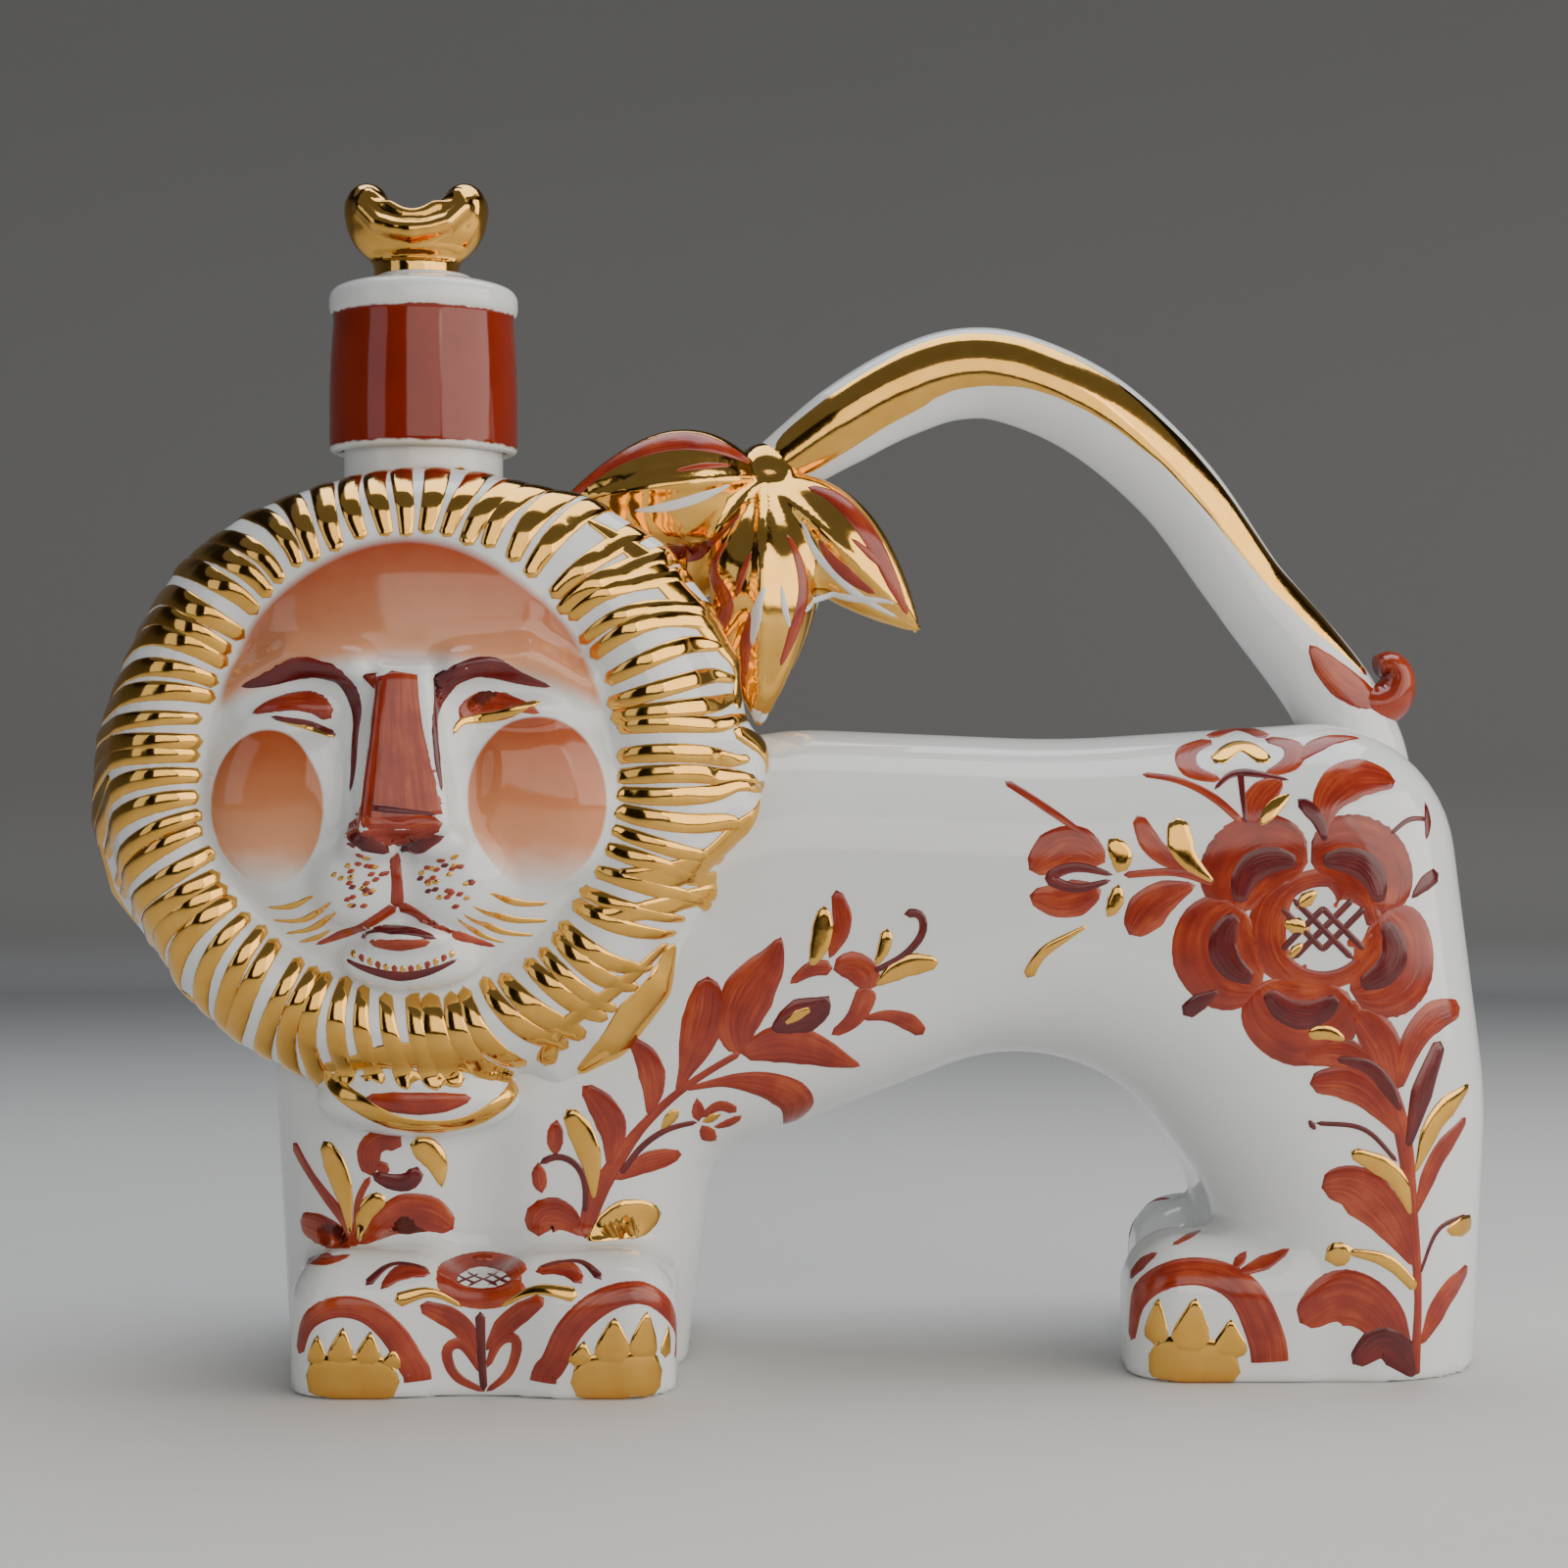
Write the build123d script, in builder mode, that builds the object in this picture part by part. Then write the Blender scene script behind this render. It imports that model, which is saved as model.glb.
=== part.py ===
"""A porcelain liquor decanter in the form of a standing lion, with a hat-shaped stopper.

The lion is slip-cast in parts that are luted together before firing: the hollow body as fore quarter,
barrel and hind quarter, the hollow head with the pouring neck, the lobes and locks of the mane, and the
tail that arches over the back as the handle and ends in a tuft of leaves. The stopper is a hollow hat
over the neck, with a crescent on top and a cork plug inside.

Sizes are millimetres. +X runs from the head to the rump, the face looks along -Y, and +Z is up. The
pieces are drawn about the middle of the head, with the spine in the plane y = 0, and are moved at the end
so that the origin is at the centre of the bottom of the whole.
"""

from build123d import *
from math import asin, cos, degrees, pi, radians, sin, sqrt
import os

os.makedirs("parts", exist_ok=True)

# Shared by the castings
wall = 3.6  # thickness of the cast porcelain
foot_wall = 5.0  # thickness of the floor inside the feet
seat_gap = 0.3  # clearance between the stopper and the neck
overrun = 2.0  # how far a cutting tool runs past what it cuts
edge_ease = 1.4  # small rounding of lips and relief

# Torso and legs, in side view
rump_reach = 194.5  # middle of the head to the back of the rump
body_half_depth = 36.0
body_edge_radius = 22.0  # rounding along the back, the belly and the legs
fore_leg_lead = 26.6  # middle of the head to the front of the fore legs
fore_leg_width = 80.6
leg_gap = 92.0  # between the fore and the hind legs
leg_taper = 3.0  # how much the outer side of a leg draws in at the ground
armpit_height = 37.0
belly_height = 64.0  # where the two slopes of the belly would meet
knee_height = 30.0
rump_height = 119.0
back_height = 114.5
withers_height = 117.0
shoulder_height = 84.0  # top of the torso inside the head
chest_height = 62.0  # front corner of the torso under the mane

# Paws, in two pairs
paw_height = 24.0
paw_width = 26.0
fore_paw_reach = 14.0  # how far a paw stands out in front of its leg
hind_paw_reach = 18.0
far_paw_setback = 6.0  # how far the far hind paw stands behind the near one
paw_corner = 11.0
instep_recess = 2.5  # how far the web between two paws lies behind and below them
fore_paws_width = 67.0
hind_paws_width = 71.0

# Head, turned about the axis of the face
head_height = 108.0  # middle of the face above the ground
head_radius = 57.0
face_reach = 52.0  # spine plane to the middle of the face
back_reach = 39.0  # spine plane to the back of the head
cheek_radius = 13.0
cheek_spread = 24.0
cheek_drop = 5.0
cheek_rise = 2.4
muzzle_radius = 9.0
muzzle_spread = 7.5
muzzle_drop = 17.0
muzzle_rise = 2.6
nose_reach = 60.0  # spine plane to the tip of the nose
nose_top_width = 8.5
nose_tip_width = 15.5
nose_length = 27.0
nose_top_rise = 17.0  # top of the nose above the middle of the face
nose_depth = 14.0

# Neck, its bore, and the way from the head into the torso
neck_radius = 15.0
neck_lead = 2.4  # how far the neck stands ahead of the middle of the head
bore_radius = 11.0
neck_height = 194.0
passage_radius = 15.0
passage_drop = 16.0

# Mane
lock_count = 36
lock_width = 5.4
lock_rise = 2.8
lock_swirl = 22.0  # degrees that the end of a lock trails behind its root
lobe_width = 22.0
lobe_thickness = 19.0
lobe_reach = 32.0  # spine plane to the middle of the lobes
beard_width = 34.0
beard_depth = 18.0
beard_thickness = 16.0
beard_height = 51.0
beard_reach = 38.0

# Tail
tail_root = 172.0  # middle of the head to the middle of the tail where it leaves the back
tail_hub = 63.5  # middle of the head to the end of the tail, inside the tuft
tail_height = 184.5  # middle of the tail at the top of its arch
tail_thickness = 17.0
tail_depth = 16.0
curl_radius = 5.4
curl_thickness = 6.0

# Tuft of leaves
leaf_length = 42.0
leaf_width = 21.5
leaf_thickness = 12.4
leaf_splay = 5.0  # how far the roots of the leaves stand off the spine plane
leaf_spread = 13.0  # and how far their tips do
hub_radius = 7.6

# Stopper: hat, crescent and cork
hat_radius = 17.8
hat_wall = 1.7
hat_bottom = 169.0
hat_top = 200.5
brim_height = 4.4
brim_step = 0.6
crown_rise = 2.5
crescent_width = 26.5
crescent_height = 17.3
crescent_sweep = 150.0  # degrees of arc from tip to tip
horn_radius = 4.9  # rolled tips of the crescent
stem_radius = 8.5
cork_length = 21.0
cork_taper = 0.8

# Places that follow from the sizes above
fore_left = -fore_leg_lead
fore_right = fore_left + fore_leg_width
hind_left = fore_right + leg_gap
hind_width = rump_reach - hind_left
fore_joint = fore_right + 0.05 * leg_gap  # where the barrel of the body joins the fore quarter
hind_joint = hind_left - 0.065 * leg_gap  # and the hind quarter
edge_radius = min(body_edge_radius, 0.44 * hind_width, 0.62 * body_half_depth)
face_plane = Plane(origin=(0, 0, head_height), x_dir=(1, 0, 0), z_dir=(0, -1, 0))  # z looks ahead


# Torso on its legs

leg_run = edge_radius + overrun  # the outline runs on below the ground, so that the legs are cut square

# Corners of the side view, each with the radius that rounds it
torso_corners = [
    ((fore_left + leg_taper, -leg_run), edge_radius),
    ((fore_right - 3 * leg_taper, -leg_run), edge_radius),
    ((fore_right, armpit_height), 0.24 * armpit_height),
    ((fore_right + 0.72 * leg_gap, belly_height), 0.37 * leg_gap),
    ((hind_left, knee_height), 0.32 * leg_gap),
    ((hind_left, -leg_run), edge_radius),
    ((rump_reach - leg_taper, -leg_run), edge_radius),
    ((rump_reach + 0.2 * leg_taper, 0.42 * rump_height), 0.75 * rump_height),
    ((rump_reach - 0.17 * hind_width, rump_height), 1.2 * edge_radius),
    ((fore_right + 0.68 * leg_gap, back_height), 2.1 * leg_gap),
    ((fore_right + 0.04 * leg_gap, withers_height), 0.6 * leg_gap),
    ((0, shoulder_height), 0.3 * leg_gap),
    ((fore_left - 0.5 * leg_taper, chest_height), 0.2 * fore_leg_width),
]


def torso_casting(inset, floor):
    """The torso and legs, drawn in by inset all round and cut off at the floor."""
    with BuildPart() as casting:
        with BuildSketch(Plane.XZ):
            with BuildLine():
                FilletPolyline(
                    *[corner for corner, radius in torso_corners],
                    radius=[radius for corner, radius in torso_corners],
                    close=True,
                )
            make_face()
            if inset:
                offset(amount=-inset)
        extrude(amount=body_half_depth - inset, both=True)
        fillet(casting.faces().filter_by(Axis.Y).edges(), radius=edge_radius - inset)
        split(bisect_by=Plane.XY.offset(floor), keep=Keep.TOP)
    return casting.part


def paw_pair(leg_plane, pair_width, reach, setback=0):
    """Two paws and the web between them; the plane stands on the leg's front, y along the toes.

    The paw on the plane's right stands back from the other by the setback.
    """
    corner = min(paw_corner, 0.45 * paw_width, 0.48 * paw_height)
    depth = reach + 2 * corner  # the back of a paw, with its rounding, is buried in the leg
    between = pair_width - paw_width
    web_reach = reach - setback - instep_recess
    with BuildPart() as pair:
        with BuildSketch(leg_plane):
            with Locations((-between / 2, reach - depth / 2), (between / 2, reach - setback - depth / 2)):
                RectangleRounded(paw_width, depth, corner)
        extrude(amount=paw_height)
        fillet(pair.faces().filter_by(Axis.Z).group_by(Axis.Z)[-1].edges(), radius=0.8 * corner)
        with BuildSketch(leg_plane):
            with Locations((0, (web_reach - corner) / 2)):
                Rectangle(between, web_reach + corner)
        extrude(amount=paw_height - instep_recess - 0.4 * corner)
    return pair.part


# Head, neck and face

# Corners and middles of the arcs of the head's outline: shares of the head's radius, and of the reach of
# the face or, below zero, of the back
crease_shares = (0.64, 0.83)  # where the face meets the mane
mane_arc_shares = [
    (crease_shares, (0.79, 0.875), (0.93, 0.75)),
    ((0.93, 0.75), (0.985, 0.55), (1.0, 0.3)),
]
nape_arc_shares = ((1.0, 0.3), (0.985, -0.1), (0.9, -0.52))


def outline_point(shares, inset):
    """A point of the head's outline drawn in by inset: distance from the face's axis, reach backwards."""
    radius_share, reach_share = shares
    reach = face_reach if reach_share > 0 else back_reach
    return (radius_share * (head_radius - inset), -reach_share * (reach - inset))


def cap_radius(half_width, rise):
    """Radius of the ball whose cap has this half width and rise."""
    return (half_width**2 + rise**2) / (2 * rise)


def head_form(inset):
    """The head without its features, drawn in by inset all round."""
    face_edge = outline_point(crease_shares, inset)
    nape_edge = outline_point(nape_arc_shares[-1], inset)
    face_ball = cap_radius(face_edge[0], face_reach - inset + face_edge[1])
    nape_ball = cap_radius(nape_edge[0], back_reach - inset - nape_edge[1])
    with BuildPart() as form:
        with BuildSketch(Plane(origin=face_plane.origin, x_dir=(1, 0, 0), z_dir=(0, 0, 1))):
            with BuildLine():
                JernArc((0, inset - face_reach), (1, 0), face_ball, degrees(asin(face_edge[0] / face_ball)))
                for arc_shares in (*mane_arc_shares, nape_arc_shares):
                    ThreePointArc(*[outline_point(shares, inset) for shares in arc_shares])
                JernArc((0, back_reach - inset), (1, 0), nape_ball, -degrees(asin(nape_edge[0] / nape_ball)))
                Line((0, back_reach - inset), (0, inset - face_reach))
            make_face()
        revolve(axis=Axis(face_plane.origin, (0, 1, 0)))
    return form.part


def face_depth(across, up):
    """How far the plain face reaches ahead of the spine plane, at a place beside its middle."""
    face_edge = outline_point(crease_shares, 0)
    face_ball = cap_radius(face_edge[0], face_reach + face_edge[1])
    return face_reach - face_ball + sqrt(face_ball**2 - across**2 - up**2)


head_solid = head_form(0)
head_hollow = head_form(wall)
torso_solid = torso_casting(0, 0)

with BuildPart() as neck:
    with BuildSketch(Plane.XY.offset(head_height)):
        with Locations((-neck_lead, 0)):
            Circle(neck_radius)
    extrude(amount=neck_height - head_height)
    fillet(neck.faces().sort_by(Axis.Z)[-1].edges(), radius=edge_ease)

with BuildPart() as features:
    for spread, drop, radius, rise in (
        (cheek_spread, cheek_drop, cheek_radius, cheek_rise),
        (muzzle_spread, muzzle_drop, muzzle_radius, muzzle_rise),
    ):
        puff_reach = face_depth(spread, drop) + rise - radius
        with Locations((-spread, -puff_reach, head_height - drop), (spread, -puff_reach, head_height - drop)):
            Sphere(radius)
    for rise, width, reach in (
        (nose_top_rise, nose_top_width, face_depth(0, nose_top_rise) + edge_ease),
        (nose_top_rise - nose_length, nose_tip_width, nose_reach),
    ):
        with BuildSketch(Plane(origin=(0, nose_depth / 2 - reach, head_height + rise))):
            RectangleRounded(width, nose_depth, 0.3 * nose_top_width)
    loft()
    add(neck.part)
    add(head_hollow, mode=Mode.SUBTRACT)

with BuildPart() as head:
    add(head_solid)
    add(head_hollow, mode=Mode.SUBTRACT)
    add(features.part)
    with BuildSketch(Plane.XY.offset(head_height)):
        with Locations((-neck_lead, 0)):
            Circle(bore_radius)
    extrude(amount=neck_height - head_height + overrun, mode=Mode.SUBTRACT)
    with BuildSketch(Plane.YZ.offset(0.5 * head_radius)):
        with Locations((0, head_height - passage_drop)):
            Circle(passage_radius)
    extrude(amount=0.5 * head_radius + overrun, mode=Mode.SUBTRACT)
head.part.label = "head"

torso_hollow = torso_casting(wall, foot_wall)

with BuildPart() as fore_quarter:
    add(torso_solid)
    split(bisect_by=Plane.YZ.offset(fore_joint), keep=Keep.BOTTOM)
    fore_middle = (fore_left + fore_right - leg_taper) / 2
    fore_front = Plane(origin=(fore_middle, -body_half_depth, 0), x_dir=(-1, 0, 0))
    add(paw_pair(fore_front, fore_paws_width, fore_paw_reach))
    add(torso_hollow, mode=Mode.SUBTRACT)
    add(head_solid, mode=Mode.SUBTRACT)
fore_quarter.part.label = "fore_quarter"

with BuildPart() as hind_quarter:
    add(torso_solid)
    split(bisect_by=Plane.YZ.offset(hind_joint), keep=Keep.TOP)
    hind_front = Plane(origin=(hind_left, 0, 0), x_dir=(0, 1, 0))
    add(paw_pair(hind_front, hind_paws_width, hind_paw_reach, far_paw_setback))
    add(torso_hollow, mode=Mode.SUBTRACT)
hind_quarter.part.label = "hind_quarter"

with BuildPart() as barrel:
    add(torso_solid)
    split(bisect_by=Plane.YZ.offset(fore_joint), keep=Keep.TOP)
    split(bisect_by=Plane.YZ.offset(hind_joint), keep=Keep.BOTTOM)
    add(torso_hollow, mode=Mode.SUBTRACT)
barrel.part.label = "barrel"


# Mane

leaf_section_shares = [0.02, 0.12, 0.3, 0.5, 0.72, 0.9, 0.985]


def leaf(length, width, thickness):
    """A leaf that runs along +X from the origin: a pointed egg, fullest nearer its root."""
    with BuildPart() as blade:
        for share in leaf_section_shares:
            swell = sin(pi * share**0.8) ** 0.85
            with BuildSketch(Plane.YZ.offset(share * length)):
                Ellipse(swell * width / 2, swell * thickness / 2)
        loft()
    return blade.part


# Each lobe, from its root to its tip: degrees about the face and share of the head's radius for both
# ends, and share of the lobes' width
mane_lobe_shares = [
    ((70, 0.85), (15, 1.07), 0.92),
    ((15, 0.95), (-25, 0.98), 0.95),
    ((-30, 0.93), (-68, 0.98), 0.98),
    ((110, 0.84), (158, 0.93), 0.93),
    ((168, 0.88), (211, 0.97), 0.96),
    ((212, 0.87), (259, 0.96), 0.93),
]


def rim_point(degrees_round, radius_share):
    """A place on the rim of the mane, at the depth of the lobes."""
    turn = radians(degrees_round)
    radius = radius_share * head_radius
    return face_plane.from_local_coords((radius * cos(turn), radius * sin(turn), lobe_reach))


beard = leaf(beard_width, beard_depth, beard_thickness)
with BuildPart() as mane_lobes:
    for root_place, tip_place, width_share in mane_lobe_shares:
        root, tip = Vector(*rim_point(*root_place)), Vector(*rim_point(*tip_place))
        with Locations(Plane(origin=root, x_dir=tip - root, z_dir=(0, -1, 0))):
            add(leaf((tip - root).length, width_share * lobe_width, lobe_thickness))
    beard_root = (-beard_width / 2, -beard_reach, beard_height)
    with Locations(Plane(origin=beard_root, x_dir=(1, 0, 0), z_dir=(0, -1, 0))):
        add(beard)
    for neighbour in (head_solid, torso_solid):
        add(neighbour, mode=Mode.SUBTRACT)
mane_lobes.part.label = "mane_lobes"

with BuildLine(Plane.XZ) as mane_line:
    for arc_shares in mane_arc_shares:
        ThreePointArc(*[outline_point(shares, 0) for shares in arc_shares])

with BuildPart() as one_lock:
    lock_taper_shares = [0.3, 0.75, 1.0, 1.0, 0.95, 0.75, 0.3]
    for step, taper in enumerate(lock_taper_shares):
        share = step / (len(lock_taper_shares) - 1)
        spot, run = mane_line.wire() @ share, mane_line.wire() % share
        turn = -radians(lock_swirl) * share
        section_plane = Plane(
            origin=(spot.X * cos(turn), spot.X * sin(turn), -spot.Z),
            x_dir=(-sin(turn), cos(turn), 0),
            z_dir=(run.X * cos(turn), run.X * sin(turn), -run.Z),
        )
        half_width = taper * lock_width / 2
        with BuildSketch(section_plane):
            with BuildLine():
                Polyline((-half_width, -lock_rise), (half_width, -lock_rise), (0, taper * lock_rise), close=True)
            make_face()
    loft(ruled=True)
    add(face_plane.to_local_coords(head_solid), mode=Mode.SUBTRACT)

with BuildPart() as mane_locks:
    with Locations(face_plane):
        with PolarLocations(0, lock_count):
            add(one_lock.part)
    for neighbour in (neck.part, torso_solid, mane_lobes.part):
        add(neighbour, mode=Mode.SUBTRACT)
mane_locks.part.label = "mane_locks"


# Tail

tail_rise = tail_height - rump_height
tail_span = tail_root - tail_hub

# The tail's middle line from its root to the tuft: shares of its span and of its rise
tail_line_shares = [
    (-0.02, -0.3),
    (0.0, 0.0),
    (0.17, 0.38),
    (0.29, 0.66),
    (0.43, 0.87),
    (0.57, 0.98),
    (0.67, 1.0),
    (0.8, 0.96),
    (0.91, 0.87),
    (1.0, 0.73),
]
tail_taper_shares = [1.05, 0.86, 0.84, 0.93, 1.0, 1.0, 1.0, 0.98, 0.9, 0.7]

with BuildLine(Plane.XZ) as tail_line:
    Spline(
        *[(tail_root - along * tail_span, rump_height + up * tail_rise) for along, up in tail_line_shares]
    )

with BuildPart() as tail:
    middle = tail_line.line.edge()
    for index, taper in enumerate(tail_taper_shares):
        share = index / (len(tail_taper_shares) - 1)
        with BuildSketch(Plane(origin=middle @ share, x_dir=(0, 1, 0), z_dir=middle % share)):
            Ellipse(taper * tail_depth / 2, taper * tail_thickness / 2)
    loft()
    add(torso_solid, mode=Mode.SUBTRACT)
tail.part.label = "tail"

with BuildPart() as tail_curl:
    curl_middle = (tail_root + curl_radius, 0, rump_height + curl_radius)
    with BuildSketch(Plane(origin=curl_middle, x_dir=(1, 0, 0), z_dir=(0, 0, 1))):
        with Locations((curl_radius, 0)):
            Circle(curl_thickness / 2)
    revolve(axis=Axis(curl_middle, (0, 1, 0)))
    add(torso_solid, mode=Mode.SUBTRACT)
    add(tail.part, mode=Mode.SUBTRACT)
tail_curl.part.label = "tail_curl"


# Tuft of leaves at the end of the tail

# Each leaf: share of the length, degrees above +X, and which way and how far it stands off the spine plane
tuft_leaf_shares = [
    (0.9, 192, -0.7),
    (1.1, 268, -1.0),
    (0.93, 311, -0.7),
    (0.98, 284, 0.9),
    (0.83, 205, 0.8),
    (0.71, 236, 0.0),
]
with BuildPart() as tail_tuft:
    tuft_middle = middle @ 1
    with Locations(tuft_middle):
        Sphere(hub_radius)
    for length_share, direction, splay_share in tuft_leaf_shares:
        root = (tuft_middle.X, splay_share * leaf_splay, tuft_middle.Z)
        length = length_share * leaf_length
        slope = splay_share * (leaf_spread - leaf_splay) / length
        along = Vector(cos(radians(direction)), slope, sin(radians(direction)))
        upright = along.cross(Vector(sin(radians(direction)), 0, -cos(radians(direction))))
        with Locations(Plane(origin=root, x_dir=along, z_dir=upright)):
            add(leaf(length, leaf_width, leaf_thickness))
    for neighbour in (head_solid, torso_solid, tail.part, mane_lobes.part):
        add(neighbour, mode=Mode.SUBTRACT)
tail_tuft.part.label = "tail_tuft"


# Stopper: the hat over the neck, its crescent, and the cork

hat_ceiling = neck_height + seat_gap
hat_bore = hat_radius - hat_wall

with BuildPart() as hat:
    with BuildSketch(Plane.XZ):
        with BuildLine():
            brim_edge = (hat_radius, hat_top - edge_ease)
            brim_top = (hat_radius - edge_ease, hat_top)
            Polyline(
                (0, hat_ceiling),
                (hat_bore, hat_ceiling),
                (hat_bore, hat_bottom),
                (hat_radius, hat_bottom),
                (hat_radius - brim_step, hat_top - brim_height),
                (hat_radius, hat_top - brim_height),
                brim_edge,
            )
            RadiusArc(brim_edge, brim_top, -edge_ease)
            Spline(brim_top, (0.5 * hat_radius, hat_top + 0.8 * crown_rise), (0, hat_top + crown_rise))
            Line((0, hat_top + crown_rise), (0, hat_ceiling))
        make_face()
    revolve(axis=Axis.Z)
hat.part.label = "hat"

with BuildPart() as crescent:
    half_sweep = radians(crescent_sweep / 2)
    bend_radius = (crescent_width / 2 - horn_radius) / sin(half_sweep)
    horn_height = hat_top + crown_rise + crescent_height - horn_radius
    bend_middle = (0, 0, horn_height + bend_radius * cos(half_sweep))
    with BuildSketch(Plane(origin=bend_middle, x_dir=(0, 1, 0), z_dir=(-cos(half_sweep), 0, sin(half_sweep)))):
        with Locations((0, bend_radius)):
            Circle(0.92 * horn_radius)
    revolve(axis=Axis(bend_middle, (0, -1, 0)), revolution_arc=crescent_sweep)
    horn_spread = bend_radius * sin(half_sweep)
    with Locations((-horn_spread, 0, horn_height), (horn_spread, 0, horn_height)):
        Sphere(horn_radius)
    with BuildSketch(Plane.XY.offset(hat_top)):
        Circle(stem_radius)
    extrude(amount=bend_middle[2] - bend_radius - hat_top)
    add(hat.part, mode=Mode.SUBTRACT)
crescent.part.label = "crescent"

with BuildPart() as cork:
    with BuildSketch(Plane.XY.offset(hat_ceiling)):
        Circle(bore_radius - seat_gap)
    with BuildSketch(Plane.XY.offset(hat_ceiling - cork_length)):
        Circle(bore_radius - seat_gap - cork_taper)
    loft()
cork.part.label = "cork"


# All pieces, moved so that the origin is at the centre of the bottom of the whole

body_pieces = [fore_quarter, barrel, hind_quarter, head, mane_locks, mane_lobes, tail, tail_curl, tail_tuft]
stopper_pieces = [hat, crescent, cork]
neck_axis = Location((-neck_lead, 0, 0))  # the stopper's pieces are drawn about the axis of the neck
placed = {piece.part.label: piece.part for piece in body_pieces}
placed.update({piece.part.label: piece.part.moved(neck_axis) for piece in stopper_pieces})
whole = Compound(list(placed.values())).bounding_box()
placing = Location((-whole.center().X, -whole.center().Y, -whole.min.Z))
print("origin moved by", placing.position)
for label, piece in placed.items():
    moved = piece.moved(placing)
    moved.label = label
    export_step(moved, "parts/" + label + ".step")
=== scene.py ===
from math import atan2, cos, pi, radians, sin, sqrt

import bpy
import numpy as np
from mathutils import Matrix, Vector
from mathutils.bvhtree import BVHTree


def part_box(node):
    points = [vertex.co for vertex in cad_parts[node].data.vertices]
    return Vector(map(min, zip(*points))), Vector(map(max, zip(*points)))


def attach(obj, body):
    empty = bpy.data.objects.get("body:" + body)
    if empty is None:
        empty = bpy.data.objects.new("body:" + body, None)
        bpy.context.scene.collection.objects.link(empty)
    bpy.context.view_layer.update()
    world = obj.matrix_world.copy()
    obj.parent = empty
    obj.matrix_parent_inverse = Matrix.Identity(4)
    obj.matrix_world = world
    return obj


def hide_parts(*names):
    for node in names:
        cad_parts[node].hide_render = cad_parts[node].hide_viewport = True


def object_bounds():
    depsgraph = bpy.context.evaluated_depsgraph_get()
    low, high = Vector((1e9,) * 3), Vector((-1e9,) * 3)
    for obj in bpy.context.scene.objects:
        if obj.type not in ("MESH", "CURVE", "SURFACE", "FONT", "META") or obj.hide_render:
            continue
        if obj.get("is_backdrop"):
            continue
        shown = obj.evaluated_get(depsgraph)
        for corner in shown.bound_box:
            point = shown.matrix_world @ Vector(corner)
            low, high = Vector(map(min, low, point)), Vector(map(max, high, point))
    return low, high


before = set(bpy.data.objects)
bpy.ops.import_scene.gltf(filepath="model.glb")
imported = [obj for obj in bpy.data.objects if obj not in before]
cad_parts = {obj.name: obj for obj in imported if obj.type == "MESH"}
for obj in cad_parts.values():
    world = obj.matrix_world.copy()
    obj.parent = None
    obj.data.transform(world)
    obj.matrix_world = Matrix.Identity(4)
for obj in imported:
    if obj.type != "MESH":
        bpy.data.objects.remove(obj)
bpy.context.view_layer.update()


# Where the decanter stands, and how it is seen: a pale table that bends up into a grey wall all round, and
# wide windows to the right, behind the camera and above, as in a room by day. Sizes here and below are
# millimetres from the middle of the head, with the spine in the plane y = 0.

hat_low, hat_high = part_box("hat")
NECK_LEAD = 2.4  # how far the neck stands ahead of the middle of the head
HEAD_X = (hat_low.x + hat_high.x) / 2 + NECK_LEAD / 1000
SPINE_Y = (hat_low.y + hat_high.y) / 2


def to_frame(points):
    """Points in millimetres from the middle of the head, turned into metres in the frame."""
    return np.asarray(points, dtype=float) * 0.001 + (HEAD_X, SPINE_Y, 0.0)


def mesh_object(name, points, faces):
    """A smooth-shaded mesh whose points are given in millimetres."""
    mesh = bpy.data.meshes.new(name)
    mesh.from_pydata(to_frame(points).tolist(), [], [tuple(face) for face in faces])
    mesh.polygons.foreach_set("use_smooth", [True] * len(mesh.polygons))
    mesh.update()
    piece = bpy.data.objects.new(name, mesh)
    bpy.context.scene.collection.objects.link(piece)
    return piece


def srgb(code):
    """A colour such as "8e2f1e" as linear red, green, blue and alpha."""
    parts = [int(code[start:start + 2], 16) / 255 for start in (0, 2, 4)]
    linear = [part / 12.92 if part <= 0.04045 else ((part + 0.055) / 1.055) ** 2.4 for part in parts]
    return (*linear, 1.0)


def node(tree, kind, inputs=None, **settings):
    """Adds a node; inputs holds a value or another node's output for each socket, settings its options."""
    made = tree.nodes.new(kind)
    for name, value in settings.items():
        setattr(made, name, value)
    for socket, value in (inputs or {}).items():
        if isinstance(value, bpy.types.NodeSocket):
            tree.links.new(value, made.inputs[socket])
        else:
            made.inputs[socket].default_value = value
    return made


def new_material(name):
    """An empty node material and its tree, with the shader already joined to the output."""
    made = bpy.data.materials.new(name)
    made.use_nodes = True
    made.node_tree.nodes.clear()
    shader = node(made.node_tree, "ShaderNodeBsdfPrincipled")
    node(made.node_tree, "ShaderNodeOutputMaterial", {"Surface": shader.outputs[0]})
    return made, made.node_tree, shader


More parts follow.
